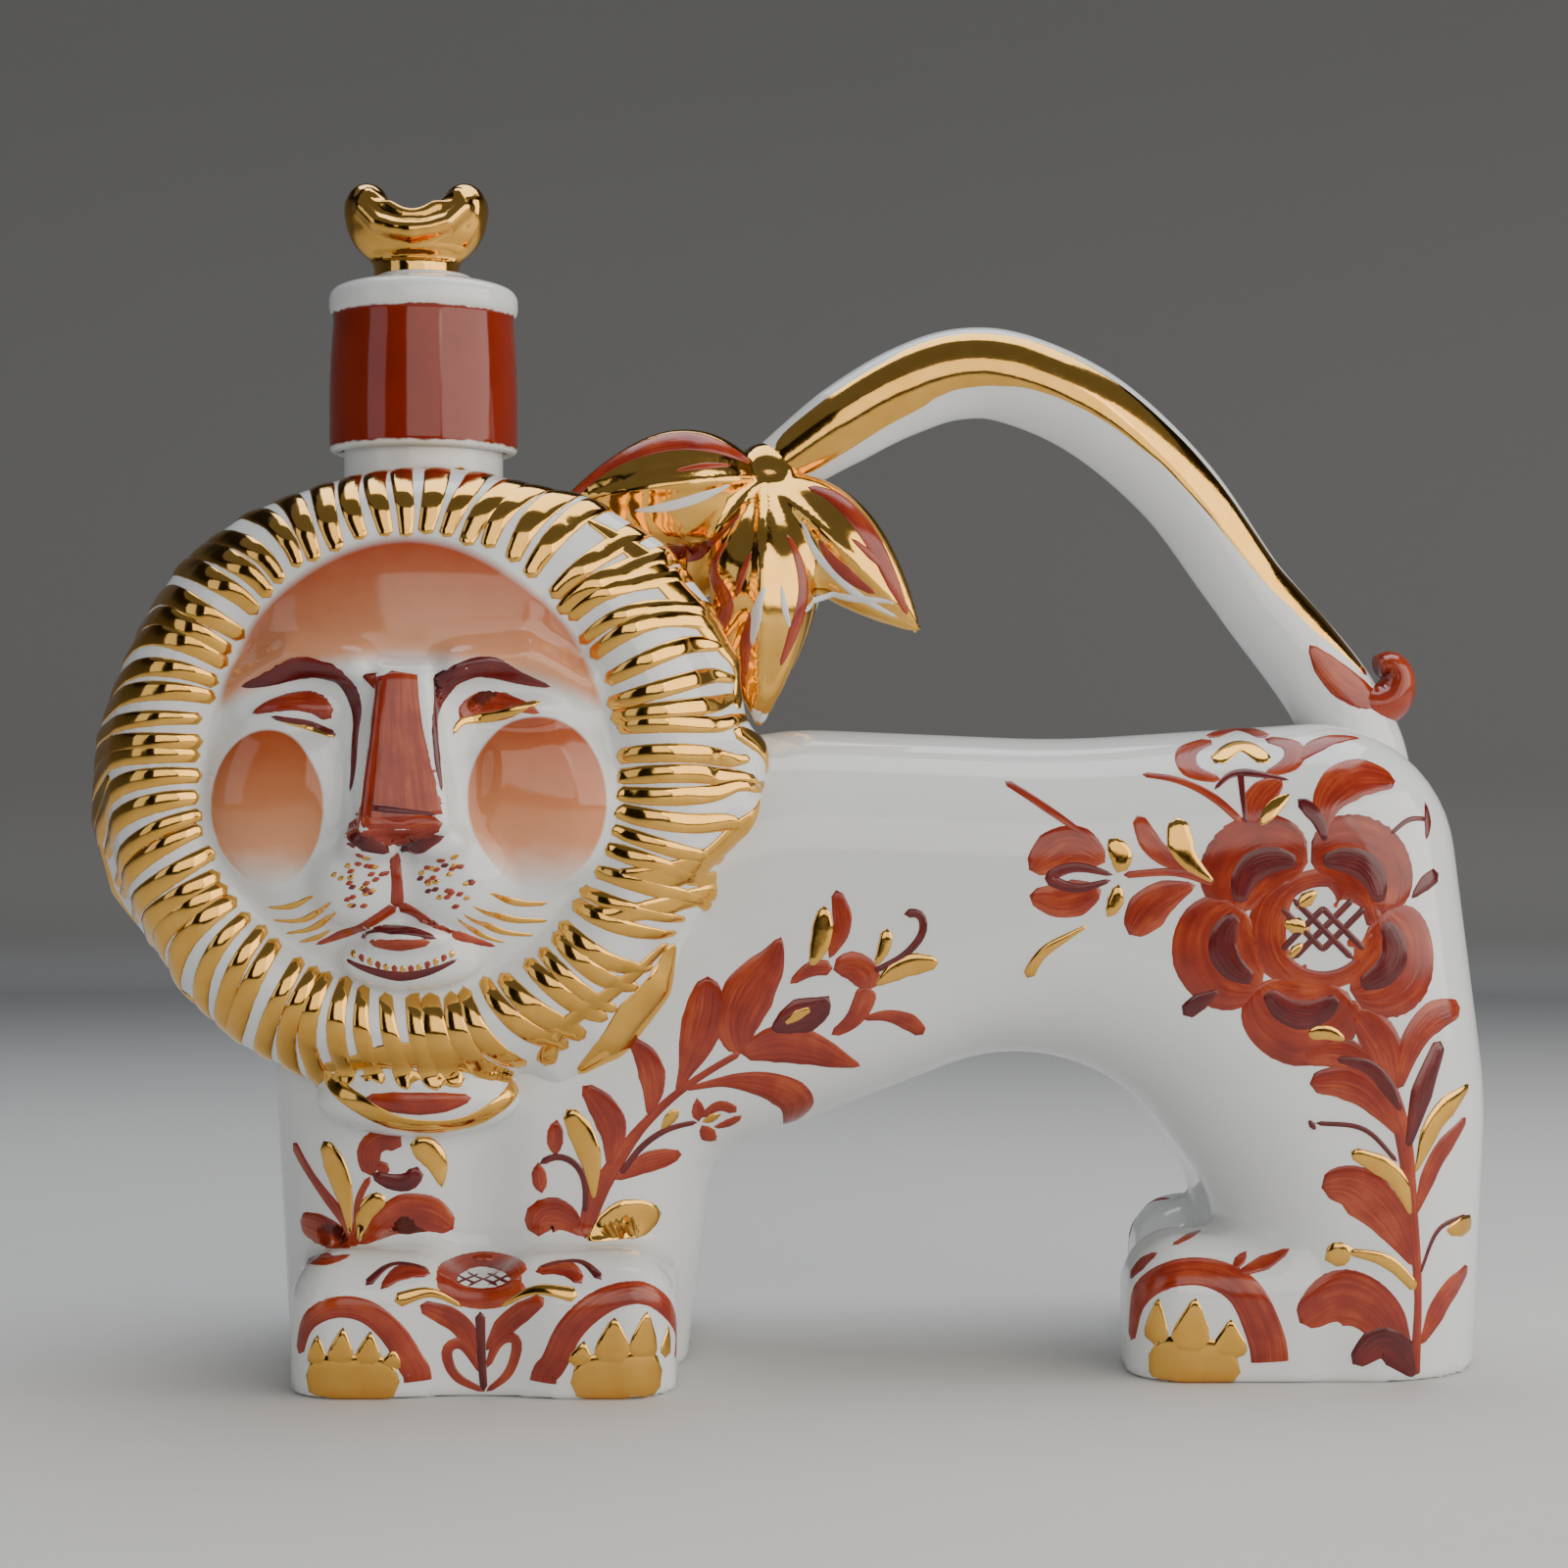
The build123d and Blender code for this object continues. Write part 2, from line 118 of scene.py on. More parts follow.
def painted_wall():
    """Matt card on the table and grey paint on the wall, with painted shade: greyer far off, darker high up
    and behind the camera.
    """
    made, tree, shader = new_material("matt_card")
    place = node(tree, "ShaderNodeNewGeometry").outputs["Position"]
    y, height = node(tree, "ShaderNodeSeparateXYZ", {0: place}).outputs[1:]
    # Soft changes of tone and of painted shade, each between two heights or two distances from the spine, in
    # metres
    soft, colour = {"interpolation_type": "SMOOTHSTEP"}, {"data_type": "RGBA"}
    off_table = node(tree, "ShaderNodeMapRange", {0: height, 1: 0.0, 2: 0.03}, **soft).outputs[0]
    rise = node(tree, "ShaderNodeMapRange", {0: height, 1: 0.0, 2: 0.5}).outputs[0]
    shade_high_up = node(tree, "ShaderNodeMapRange", {0: height, 1: 0.6, 2: 1.1}, **soft).outputs[0]
    far = node(tree, "ShaderNodeMapRange", {0: y, 1: 0.05, 2: 0.95}, **soft).outputs[0]
    ahead = node(tree, "ShaderNodeMapRange", {0: y, 1: -0.5, 2: -1.3}, **soft).outputs[0]
    upright = node(tree, "ShaderNodeMapRange", {0: height, 1: -0.04, 2: 0.12}, **soft).outputs[0]
    shade_behind_camera = node(tree, "ShaderNodeMath", {0: ahead, 1: upright}, operation="MULTIPLY").outputs[0]
    # Painted shade: the wall darkens as it rises, and goes near black high up
    wall = node(tree, "ShaderNodeMix", {0: rise, 6: srgb("757574"), 7: srgb("626261")}, **colour).outputs[2]
    wall = node(tree, "ShaderNodeMix", {0: shade_high_up, 6: wall, 7: srgb("252524")}, **colour).outputs[2]
    # Painted shade: the card greys with distance from the camera
    table = node(tree, "ShaderNodeMix", {0: far, 6: srgb("d8d8d7"), 7: srgb("8a8b8d")}, **colour).outputs[2]
    tone = node(tree, "ShaderNodeMix", {0: off_table, 6: table, 7: wall}, **colour).outputs[2]
    # Painted shade: near black on the table and wall behind the camera, where the room is unlit
    tone = node(tree, "ShaderNodeMix", {0: shade_behind_camera, 6: tone, 7: srgb("1a1917")}, **colour).outputs[2]
    tree.links.new(tone, shader.inputs["Base Color"])
    # The tooth of card and paint, about a millimetre across
    grain = node(tree, "ShaderNodeTexNoise", {"Vector": place, "Scale": 1000 / 1.11, "Detail": 3.0})
    bump = node(tree, "ShaderNodeBump", {"Strength": 0.06, "Distance": 0.001, "Height": grain.outputs["Fac"]})
    tree.links.new(bump.outputs[0], shader.inputs["Normal"])
    shader.inputs["Roughness"].default_value = 0.7
    return made


TABLE_RADIUS, BEND_RADIUS, WALL_TOP = 1560.0, 110.0, 1500.0
ROOM_FORWARD = 600.0  # the middle of the room is nearer the camera than the decanter is
SIDES, BEND_STEPS = 96, 12
sweep = [(radius, 0.0) for radius in (0.0, 400.0, 900.0, TABLE_RADIUS)]
sweep += [
    (TABLE_RADIUS + BEND_RADIUS * sin(turn), BEND_RADIUS * (1 - cos(turn)))
    for turn in np.linspace(0.12, pi / 2, BEND_STEPS)
]
sweep.append((TABLE_RADIUS + BEND_RADIUS, WALL_TOP))
room_points = [
    (radius * cos(2 * pi * side / SIDES), radius * sin(2 * pi * side / SIDES) - ROOM_FORWARD, height)
    for radius, height in sweep
    for side in range(SIDES)
]
room_faces = [
    (ring * SIDES + side, ring * SIDES + (side + 1) % SIDES,
     (ring + 1) * SIDES + (side + 1) % SIDES, (ring + 1) * SIDES + side)
    for ring in range(len(sweep) - 1)
    for side in range(SIDES)
]
room = mesh_object("table_and_wall", room_points, room_faces)
room.data.materials.append(painted_wall())
room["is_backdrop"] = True

CAMERA_X, CAMERA_DISTANCE, CAMERA_HEIGHT = 66.0, 550.0, 106.4
LENS, SENSOR_WIDTH = 66.5, 36.0
camera_data = bpy.data.cameras.new("camera")
camera_data.lens = LENS
camera_data.sensor_width = SENSOR_WIDTH
camera = bpy.data.objects.new("camera", camera_data)
camera.location = to_frame((CAMERA_X, -CAMERA_DISTANCE, CAMERA_HEIGHT))
camera.rotation_euler = (pi / 2, 0, 0)
bpy.context.scene.collection.objects.link(camera)
bpy.context.scene.camera = camera


LIT_SPOT = (66.0, 0.0, 100.0)  # the middle of the decanter


def window(name, place, width, height, power, colour):
    """A soft area light at a place in millimetres, turned to the middle of the decanter."""
    light = bpy.data.lights.new(name, "AREA")
    light.shape = "RECTANGLE"
    light.size = width / 1000
    light.size_y = height / 1000
    light.energy = power
    light.color = srgb(colour)[:3]
    made = bpy.data.objects.new(name, light)
    made.location = to_frame(place)
    aim = Vector(to_frame(LIT_SPOT)) - made.location
    made.rotation_euler = aim.to_track_quat("-Z", "Y").to_euler()
    bpy.context.scene.collection.objects.link(made)


window("side_window", (930.0, -500.0, 440.0), 1400.0, 760.0, 10.4, "fff8ee")
window("near_window", (150.0, -1150.0, 470.0), 900.0, 640.0, 3.4, "fff8ee")
window("roof_window", (100.0, 250.0, 1050.0), 1100.0, 800.0, 9.0, "f3f6fb")
window("left_fill", (-900.0, -700.0, 420.0), 500.0, 700.0, 1.1, "eef2f8")
world = bpy.data.worlds.new("daylight")
world.use_nodes = True
world.node_tree.nodes["Background"].inputs[0].default_value = srgb("aeb2b6")
world.node_tree.nodes["Background"].inputs[1].default_value = 0.34
bpy.context.scene.world = world


# The torso: one hollow slip-cast body on two leg blocks, with four paws cast on it. Plaster moulds leave
# soft corners everywhere, so the form is built as a field of distances whose parts melt into each other.

HALF_DEPTH, EDGE_RADIUS = 36.0, 22.0
CELL = 1.4  # grid step of the modelled porcelain
PULLS, NUDGE = 3, 0.05  # how often a skin's points are pulled onto the surface, and how its slope is felt

# Side view of the body, each corner with the radius that rounds it; the legs run on below the table
BODY_CORNERS = [
    (-23.6, -24.0, 22.0), (45.0, -24.0, 22.0), (52.8, 38.0, 9.0), (120.2, 64.0, 34.0),
    (146.0, 30.0, 29.5), (146.0, -24.0, 21.0), (191.5, -24.0, 21.0), (195.1, 50.0, 89.0),
    (186.3, 119.0, 25.6), (116.6, 114.5, 190.0), (57.7, 117.0, 55.0), (0.0, 84.0, 27.0),
    (-28.1, 62.0, 16.0),
]


def round_corners(corners, arc_step=3.0):
    """The corners' closed outline with each corner rounded by its radius."""
    outline = []
    for index, (x, z, radius) in enumerate(corners):
        spot = np.array((x, z))
        back = np.array(corners[index - 1][:2]) - spot
        ahead = np.array(corners[(index + 1) % len(corners)][:2]) - spot
        back, ahead = back / np.hypot(*back), ahead / np.hypot(*ahead)
        half = np.arccos(np.clip(back @ ahead, -1, 1)) / 2
        middle = spot + (back + ahead) / np.hypot(*(back + ahead)) * radius / sin(half)
        start = spot + back * radius / np.tan(half) - middle
        end = spot + ahead * radius / np.tan(half) - middle
        turn = atan2(start[0] * end[1] - start[1] * end[0], start @ end)
        count = max(2, int(abs(turn) * radius / arc_step))
        for share in np.linspace(0, 1, count + 1):
            swing = turn * share
            outline.append(middle + (
                start[0] * cos(swing) - start[1] * sin(swing), start[0] * sin(swing) + start[1] * cos(swing)
            ))
    return np.array(outline)


def outline_distance(across, up, outline):
    """Distance from points in a plane to a closed outline, below zero inside."""
    nearest = np.full(across.shape, 1e9)
    inside = np.zeros(across.shape, dtype=bool)
    for start, end in zip(outline, np.roll(outline, -1, axis=0)):
        run = end - start
        length = run @ run
        if length < 1e-12:
            continue
        off_x, off_z = across - start[0], up - start[1]
        share = np.clip((off_x * run[0] + off_z * run[1]) / length, 0, 1)
        nearest = np.minimum(nearest, (off_x - share * run[0]) ** 2 + (off_z - share * run[1]) ** 2)
        if start[1] != end[1]:
            crosses = (start[1] > up) != (end[1] > up)
            inside ^= crosses & (off_x < off_z * run[0] / run[1])
    return np.where(inside, -1, 1) * np.sqrt(nearest)


def melt(first, second, width):
    """Joins two forms with a soft web about as wide as width."""
    blend = np.clip(0.5 + 0.5 * (second - first) / width, 0, 1)
    return second * (1 - blend) + first * blend - width * blend * (1 - blend)


def dent(form, hollow, width):
    """Takes the hollow form away from the first, with softened edges."""
    return -melt(-form, hollow, width)


def ball(p, middle, radii):
    """Distance, near enough, to an egg with these three radii."""
    scaled = (p - middle) / radii
    size = np.sqrt((scaled ** 2).sum(axis=1)) + 1e-9
    slope = np.sqrt(((scaled / radii) ** 2).sum(axis=1)) + 1e-9
    return size * (size - 1) / slope


def chain(p, knots, radii):
    """Distance to a tapered rope through the knots."""
    nearest = np.full(len(p), 1e9)
    for start, end, thick, thin in zip(knots[:-1], knots[1:], radii[:-1], radii[1:]):
        run = np.subtract(end, start)
        share = np.clip(((p - start) @ run) / (run @ run), 0, 1)
        gap = np.sqrt(((p - start - share[:, None] * run) ** 2).sum(axis=1))
        nearest = np.minimum(nearest, gap - thick - (thin - thick) * share)
    return nearest


def cast(name, distance, low, high, step):
    """Skins a field of distances: one point in each cell that the surface crosses, pulled onto it."""
    axes = [np.arange(start, end + step, step) for start, end in zip(low, high)]
    shape = tuple(len(axis) for axis in axes)
    grid = np.stack(np.meshgrid(*axes, indexing="ij"), axis=-1).reshape(-1, 3)
    values = np.concatenate([distance(part) for part in np.array_split(grid, 24)]).reshape(shape)
    cells = tuple(size - 1 for size in shape)
    total, count = np.zeros(cells + (3,)), np.zeros(cells)
    corners = [(a, b, c) for a in (0, 1) for b in (0, 1) for c in (0, 1)]
    for first in corners:
        for second in corners:
            if sum(np.subtract(second, first)) != 1 or min(np.subtract(second, first)) < 0:
                continue
            one = values[tuple(slice(f, f + n) for f, n in zip(first, cells))]
            two = values[tuple(slice(s, s + n) for s, n in zip(second, cells))]
            crosses = (one < 0) != (two < 0)
            share = np.where(crosses, one / np.where(crosses, one - two, 1), 0)
            for axis in range(3):
                total[..., axis] += crosses * (first[axis] + share * (second[axis] - first[axis]))
            count += crosses
    used = count > 0
    number = np.full(cells, -1)
    number[used] = np.arange(used.sum())
    points = np.argwhere(used) + total[used] / count[used][:, None]
    points = points * step + [axis[0] for axis in axes]
    faces = []
    for axis in range(3):
        side, up = [(1, 2), (2, 0), (0, 1)][axis]
        lower = values[tuple(slice(0, -1) if n == axis else slice(1, -1) for n in range(3))]
        upper = values[tuple(slice(1, None) if n == axis else slice(1, -1) for n in range(3))]
        for flip in (False, True):
            spots = np.argwhere((lower < 0) & (upper >= 0) if not flip else (lower >= 0) & (upper < 0))
            ring = []
            for step_side, step_up in ((0, 0), (1, 0), (1, 1), (0, 1)):
                cell = spots.copy()
                cell[:, side] += step_side
                cell[:, up] += step_up
                ring.append(number[tuple(cell.T)])
            faces.append(np.stack(ring[::-1] if flip else ring, axis=1))
    for _ in range(PULLS):
        here = distance(points)
        slope = np.stack([(distance(points + nudge) - here) / NUDGE for nudge in np.eye(3) * NUDGE], axis=1)
        points = points - slope * (here / np.maximum((slope ** 2).sum(axis=1), 0.25))[:, None]
    faces = np.concatenate(faces)
    return mesh_object(name, points, faces), BVHTree.FromPolygons(points.tolist(), faces.tolist())


def block(p, middle, half_sizes, radius):
    """Distance to a block with rounded edges."""
    away = np.abs(p - middle) - np.array(half_sizes) + radius
    outside = np.sqrt((np.maximum(away, 0) ** 2).sum(axis=1))
    return outside + np.minimum(away.max(axis=1), 0) - radius


body_outline = round_corners(BODY_CORNERS)

# The paws as rounded blocks: middle, half sizes, radius of the edges. The fore pair is one block with a
# dent between its toes, and the far hind paw is set a little back from the near one.
FORE_PAWS = (13.2, -36.0, 6.0), (33.8, 14.0, 18.6), 9.5
FORE_DENT = (12.4, -55.5, 8.0), (12.5, 8.0, 26.0)
HIND_PAWS = [
    ((146.8, -22.0, 5.0), (19.0, 14.3, 20.0), 10.5),
    ((153.5, 22.0, 5.0), (19.0, 14.3, 20.0), 10.5),
]
HIND_WEB = (149.0, 0.0, 4.0), (14.5, 12.0, 16.0), 8.0
# The crease that parts the fore legs, from the paws up to the chest, and its radii
CHEST_CREASE = ((12.5, -42.0, 26.0), (12.0, -40.5, 44.0), (10.5, -41.5, 62.0)), (5.2, 5.6, 4.5)


def torso_form(p):
    """The torso with its paws, as distances."""
    side = outline_distance(p[:, 0], p[:, 2], body_outline) + EDGE_RADIUS
    depth = np.abs(p[:, 1]) - HALF_DEPTH + EDGE_RADIUS
    body = np.hypot(np.maximum(side, 0), np.maximum(depth, 0)) + np.minimum(np.maximum(side, depth), 0)
    fore_paws = dent(block(p, *FORE_PAWS), ball(p, *FORE_DENT), 5.0)
    form = melt(body - EDGE_RADIUS, fore_paws, 3.5)
    for paw in HIND_PAWS:
        form = melt(form, block(p, *paw), 4.5)
    form = melt(form, block(p, *HIND_WEB), 5.0)
    form = dent(form, chain(p, *CHEST_CREASE), 7.0)
    return np.maximum(form, -p[:, 2])


torso, torso_skin = cast("torso_porcelain", torso_form, low=(-34, -54, -3), high=(204, 40, 121), step=CELL)


def glazed_porcelain():
    """Hard-paste porcelain under clear glaze: cool white, deep gloss, with a faint ripple in the glaze."""
    made, tree, shader = new_material("glazed_porcelain")
    place = node(tree, "ShaderNodeTexCoord").outputs["Object"]
    # Faint clouds in the paste, some 36 mm wide, and a ripple about every 6 mm
    cloud = node(tree, "ShaderNodeTexNoise", {"Vector": place, "Scale": 1000 / 35.7, "Detail": 2.0})
    white, grey = srgb("e9ecec"), srgb("dfe3e4")
    tone = node(tree, "ShaderNodeMix", {0: cloud.outputs[0], 6: white, 7: grey}, data_type="RGBA")
    tree.links.new(tone.outputs[2], shader.inputs["Base Color"])
    ripple = node(tree, "ShaderNodeTexNoise", {"Vector": place, "Scale": 1000 / 6.25, "Detail": 1.0})
    bump = node(tree, "ShaderNodeBump", {"Strength": 0.05, "Distance": 0.0004, "Height": ripple.outputs[0]})
    tree.links.new(bump.outputs[0], shader.inputs["Normal"])
    shader.inputs["Roughness"].default_value = 0.09
    shader.inputs["IOR"].default_value = 1.52
    shader.inputs["Subsurface Weight"].default_value = 0.12
    shader.inputs["Subsurface Radius"].default_value = (0.9, 0.8, 0.7)
    shader.inputs["Subsurface Scale"].default_value = 0.0025
    return made


porcelain = glazed_porcelain()
torso.data.materials.append(porcelain)
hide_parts("fore_quarter", "barrel", "hind_quarter")
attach(torso, "body")


# The head: a hollow casting with the face in relief, ringed by a swell of mane whose ends curl into
# broad lobes, and a beard below. The pouring neck rises from it. It is luted to the torso with slip,
# and its forehead and cheeks are airbrushed with enamel before the last firing.

HEAD_HEIGHT, HEAD_RADIUS = 108.0, 57.0
NECK_RADIUS, NECK_BORE, NECK_TOP = 15.0, 11.0, 194.0

# How far the rim of the mane stands from the head's middle at each angle, from the right hand side on;
# only its slow waves are kept, so that it has no corners
RIM_ANGLES = [0, 30, 60, 90, 120, 150, 180, 210, 240, 270, 300, 330]
RIM_RADII = [57.0, 57.5, 56.5, 55.4, 54.8, 55.8, 56.0, 56.0, 55.5, 56.5, 57.5, 55.5]
RIM_STEP, SLOW_WAVES = 5, 6
rim_steps = np.arange(0, 360, RIM_STEP)
rim_waves = np.fft.rfft(np.interp(rim_steps, RIM_ANGLES + [360], RIM_RADII + RIM_RADII[:1]))
rim_waves[SLOW_WAVES:] = 0
smooth_rim = np.fft.irfft(rim_waves, len(rim_steps))


def rim_radius(degrees):
    """The rim's distance from the middle of the head at an angle from 0 to 360."""
    return np.interp(degrees, np.append(rim_steps, 360), np.append(smooth_rim, smooth_rim[0]))


# Half section through the head from the middle of the face, over the mane, to the middle of the back
HEAD_SECTION = [
    (0.0, -52.0), (10.0, -51.4), (20.0, -49.5), (30.0, -46.1), (35.0, -43.5), (37.5, -42.6), (41.0, -44.9),
    (46.0, -46.2), (51.0, -44.0), (54.8, -38.5), (56.6, -30.0), (57.0, -16.0), (56.2, -2.0), (54.0, 10.0),
    (50.0, 20.5), (43.0, 28.5), (33.0, 34.3), (18.0, 38.2), (0.0, 39.0),
]


def soft_path(knots, step=0.8):
    """A soft curve through the knots, as points about a step apart."""
    knots = np.asarray(knots, dtype=float)
    if len(knots) == 2:
        knots = np.stack([knots[0], knots.mean(axis=0), knots[1]])
    knots = np.concatenate([[2 * knots[0] - knots[1]], knots, [2 * knots[-1] - knots[-2]]])
    points = []
    for a, b, c, d in zip(knots[:-3], knots[1:-2], knots[2:-1], knots[3:]):
        count = max(2, int(np.linalg.norm(c - b) / step))
        for t in np.arange(count) / count:
            bend = (2 * a - 5 * b + 4 * c - d) * t ** 2 + (3 * b - a - 3 * c + d) * t ** 3
            points.append(b + ((c - a) * t + bend) / 2)
    return np.array(points + [knots[-2]])


head_section = soft_path(HEAD_SECTION, 2.5)
head_outline = np.concatenate([head_section, (head_section * (-1, 1))[-2:0:-1]])


def round_head(degrees, radius, y):
    """A point by its angle and distance from the middle of the head, and its depth."""
    turn = np.radians(degrees)
    return np.stack([radius * np.cos(turn), y, HEAD_HEIGHT + radius * np.sin(turn)], axis=-1)


def rope(knots):
    """The points and radii of a lobe that is given as angle, distance, depth and radius."""
    table = np.array(knots, dtype=float)
    return round_head(table[:, 0], table[:, 1], table[:, 2]), table[:, 3]


# The curled lobes of the mane: angle, distance from the middle, depth, radius
MANE_LOBES = [
    [(70, 48, -38, 5.5), (56, 51, -34, 7.5), (42, 52.5, -32, 8.2), (30, 53.5, -31, 7.6), (20, 56, -30, 5.4),
     (13, 57, -30, 3.0)],
    [(12, 44, -41, 3.5), (7, 54, -33, 6.0), (3, 57, -30, 6.2), (-6, 54, -32, 8.0), (-15, 48.5, -37, 6.6),
     (-22, 42, -41, 3.8)],
    [(-36, 42, -41, 3.0), (-29, 49, -38, 4.6), (-22.5, 55, -34, 3.6)],
    [(-32, 54, -33, 3.6), (-42, 54.5, -33, 6.4), (-53, 55.5, -33, 7.2), (-63, 56.5, -33, 5.2)],
    [(160, 48.5, -31, 5.5), (174, 49.5, -29, 7.6), (188, 51.5, -27, 7.6), (200, 52.5, -26, 6.6),
     (213, 51, -29, 4.4)],
    [(212, 46, -36, 4.5), (224, 48.5, -34, 7.0), (238, 49.5, -34, 7.0), (251, 51.5, -34, 5.4),
     (262, 52, -34, 3.4)],
    [(110, 46.5, -36, 5.0), (124, 47.5, -32, 7.0), (138, 49, -30, 7.0), (150, 50, -28, 5.4)],
    [(60, 49, 2, 6.0), (40, 50, 6, 8.0), (18, 51, 6, 8.0), (0, 50, 2, 6.0)],
    [(-20, 49, 2, 6.0), (-40, 50, 6, 8.0), (-62, 50, 4, 7.0)],
    [(130, 48, 2, 6.0), (150, 49, 6, 8.0), (172, 49, 6, 8.0), (190, 49, 2, 6.0)],
    [(205, 48, 2, 6.0), (224, 49, 5, 8.0), (246, 49, 4, 7.0)],
]
mane_ropes = [rope(knots) for knots in MANE_LOBES]


def face_oval(rise, radius):
    """How far the round face is drawn out upward and in at its sides; rise is the sine of the angle."""
    pull = np.clip((53.0 - radius) / 12.0, 0, 1)
    return 1 + pull * (0.085 * np.maximum(rise, 0) ** 2 - 0.04 * (1 - rise ** 2))


# The face in relief. Eggs of clay are given by middle and radii; FACE_X is the upright line between the
# eyes, and what stands beside it is given once, by its distance from that line, and made on both sides.
FACE_X = 1.0
BEARD, BEARD_FLOOR = ((1.2, -36.0, 50.8), (18.0, 8.4, 7.0)), 43.2
FOREHEAD = (1.0, -41.5, 138.0), (29.0, 8.4, 14.0)
BROW_RIDGE, BROW_RADII = [(29.5, -43.4, 123.6), (20.0, -47.2, 128.0), (9.0, -50.2, 126.4)], (2.0, 2.9, 3.0)
EYES_AND_CHEEKS = [
    (dent, (19.0, -52.6, 119.4), (12.0, 6.4, 6.0), 3.5),  # the hollow of the eye
    (dent, (11.6, -56.0, 109.5), (4.4, 7.4, 12.0), 3.0),  # the hollow beside the nose
    (melt, (18.8, -45.0, 119.2), (8.6, 3.9, 3.2), 1.5),  # the lid
    (melt, (23.4, -43.2, 103.0), (12.4, 6.6, 14.6), 3.5),  # the cheek
]
MUZZLE = [
    (melt, (5.6, -53.4, 96.4), (5.2, 4.4, 3.2), 1.6),  # the wing of the nose
    (melt, (7.4, -47.4, 89.8), (9.4, 6.4, 8.6), 3.0),  # the whisker pad
]
LOWER_LIP = (1.2, -49.4, 79.8), (7.4, 3.6, 2.4)
CHIN = (1.0, -45.6, 75.6), (12.0, 4.6, 5.0)
LIP_GROOVE = ((1.2, -57.0, 94.0), (1.2, -56.0, 84.6)), (0.7, 0.7)

# The nose at its root: height, half width and front, and what each gains for a millimetre further down
NOSE_ROOT, NOSE_HALF_WIDTH, NOSE_FRONT = 126.0, 4.6, -53.2
NOSE_WIDENS, NOSE_STANDS_OUT, NOSE_LEANS = 0.125, 0.225, 0.03
NOSE_MIDDLE, NOSE_HALF_LENGTH, NOSE_EDGE, NOSE_BACK = 112.5, 14.5, 1.6, -30.0

HEAD_HOLLOW = (0.0, -4.0, HEAD_HEIGHT), (50.0, 36.0, 48.0)
NECK_FOOT, NECK_WAY_FOOT = 140.0, 120.0


def beside_line(form, p, side, parts):
    """Adds or dents the parts on one side of the line between the eyes."""
    for blend, (away, y, z), radii, width in parts:
        form = blend(form, ball(p, (FACE_X + side * away, y, z), radii), width)
    return form


def nose_form(p):
    """The nose as distances: a long wedge with soft edges that broadens and stands out as it comes down."""
    x, y, z = p.T
    half = NOSE_HALF_WIDTH + (NOSE_ROOT - z) * NOSE_WIDENS
    front = NOSE_FRONT - (NOSE_ROOT - z) * NOSE_STANDS_OUT
    across = np.abs(x - FACE_X + (z - 112) * NOSE_LEANS)
    past = np.stack([across - half, front - y, np.abs(z - NOSE_MIDDLE) - NOSE_HALF_LENGTH]) + NOSE_EDGE
    wedge = np.sqrt((np.maximum(past, 0) ** 2).sum(axis=0)) + np.minimum(past.max(axis=0), 0) - NOSE_EDGE
    return np.maximum(wedge, y - NOSE_BACK)


def head_form(p):
    """The head with mane, face and neck, as distances."""
    x, y, z = p.T
    away = np.hypot(x, z - HEAD_HEIGHT) * HEAD_RADIUS
    away = away / rim_radius(np.degrees(np.arctan2(z - HEAD_HEIGHT, x)) % 360)
    away = away / face_oval((z - HEAD_HEIGHT) / np.maximum(away, 1), away)
    form = outline_distance(away, y, head_outline)
    for knots, radii in mane_ropes:
        form = melt(form, chain(p, knots, radii), 4.0)
    form = melt(form, np.maximum(ball(p, *BEARD), BEARD_FLOOR - z), 3.0)
    form = melt(form, ball(p, *FOREHEAD), 5.0)
    for side in (-1, 1):
        brow = [(FACE_X + side * off, ridge_y, ridge_z) for off, ridge_y, ridge_z in BROW_RIDGE]
        form = melt(form, chain(p, brow, BROW_RADII), 4.0)
        form = beside_line(form, p, side, EYES_AND_CHEEKS)
    form = melt(form, nose_form(p), 2.2)
    for side in (-1, 1):
        form = beside_line(form, p, side, MUZZLE)
    form = melt(form, ball(p, *LOWER_LIP), 1.4)
    form = melt(form, ball(p, *CHIN), 3.0)
    form = dent(form, chain(p, *LIP_GROOVE), 1.4)
    # The neck, and the way down through it into the hollow head
    pipe = np.hypot(x + NECK_LEAD, y)
    form = melt(form, np.maximum(pipe - NECK_RADIUS, np.maximum(z - NECK_TOP, NECK_FOOT - z)), 3.0)
    hollow = melt(ball(p, *HEAD_HOLLOW), np.maximum(pipe - NECK_BORE, NECK_WAY_FOOT - z), 3.0)
    return dent(form, hollow, 1.2)


head, head_skin = cast("head_porcelain", head_form, low=(-61.5, -61.5, 41), high=(65, 41, 196), step=1.1)

# Each sprayed patch: middle and half sizes of its oval, the height where the spray is thickest and the
# height where it has faded out, and its deepest and palest colour. The forehead's comes first.
SPRAYED = [
    ((0.6, -44.0, 108.6), (35.6, 16.0, 42.0), 151.0, 116.0, "9a3208", "f4b88c"),
    ((-23.3, -46.0, 102.4), (10.6, 13.0, 13.8), 117.5, 86.5, "a23e0a", "f2b080"),
    ((23.0, -46.0, 103.4), (12.4, 13.0, 15.2), 120.5, 86.0, "a23c0c", "f0ac7e"),
]


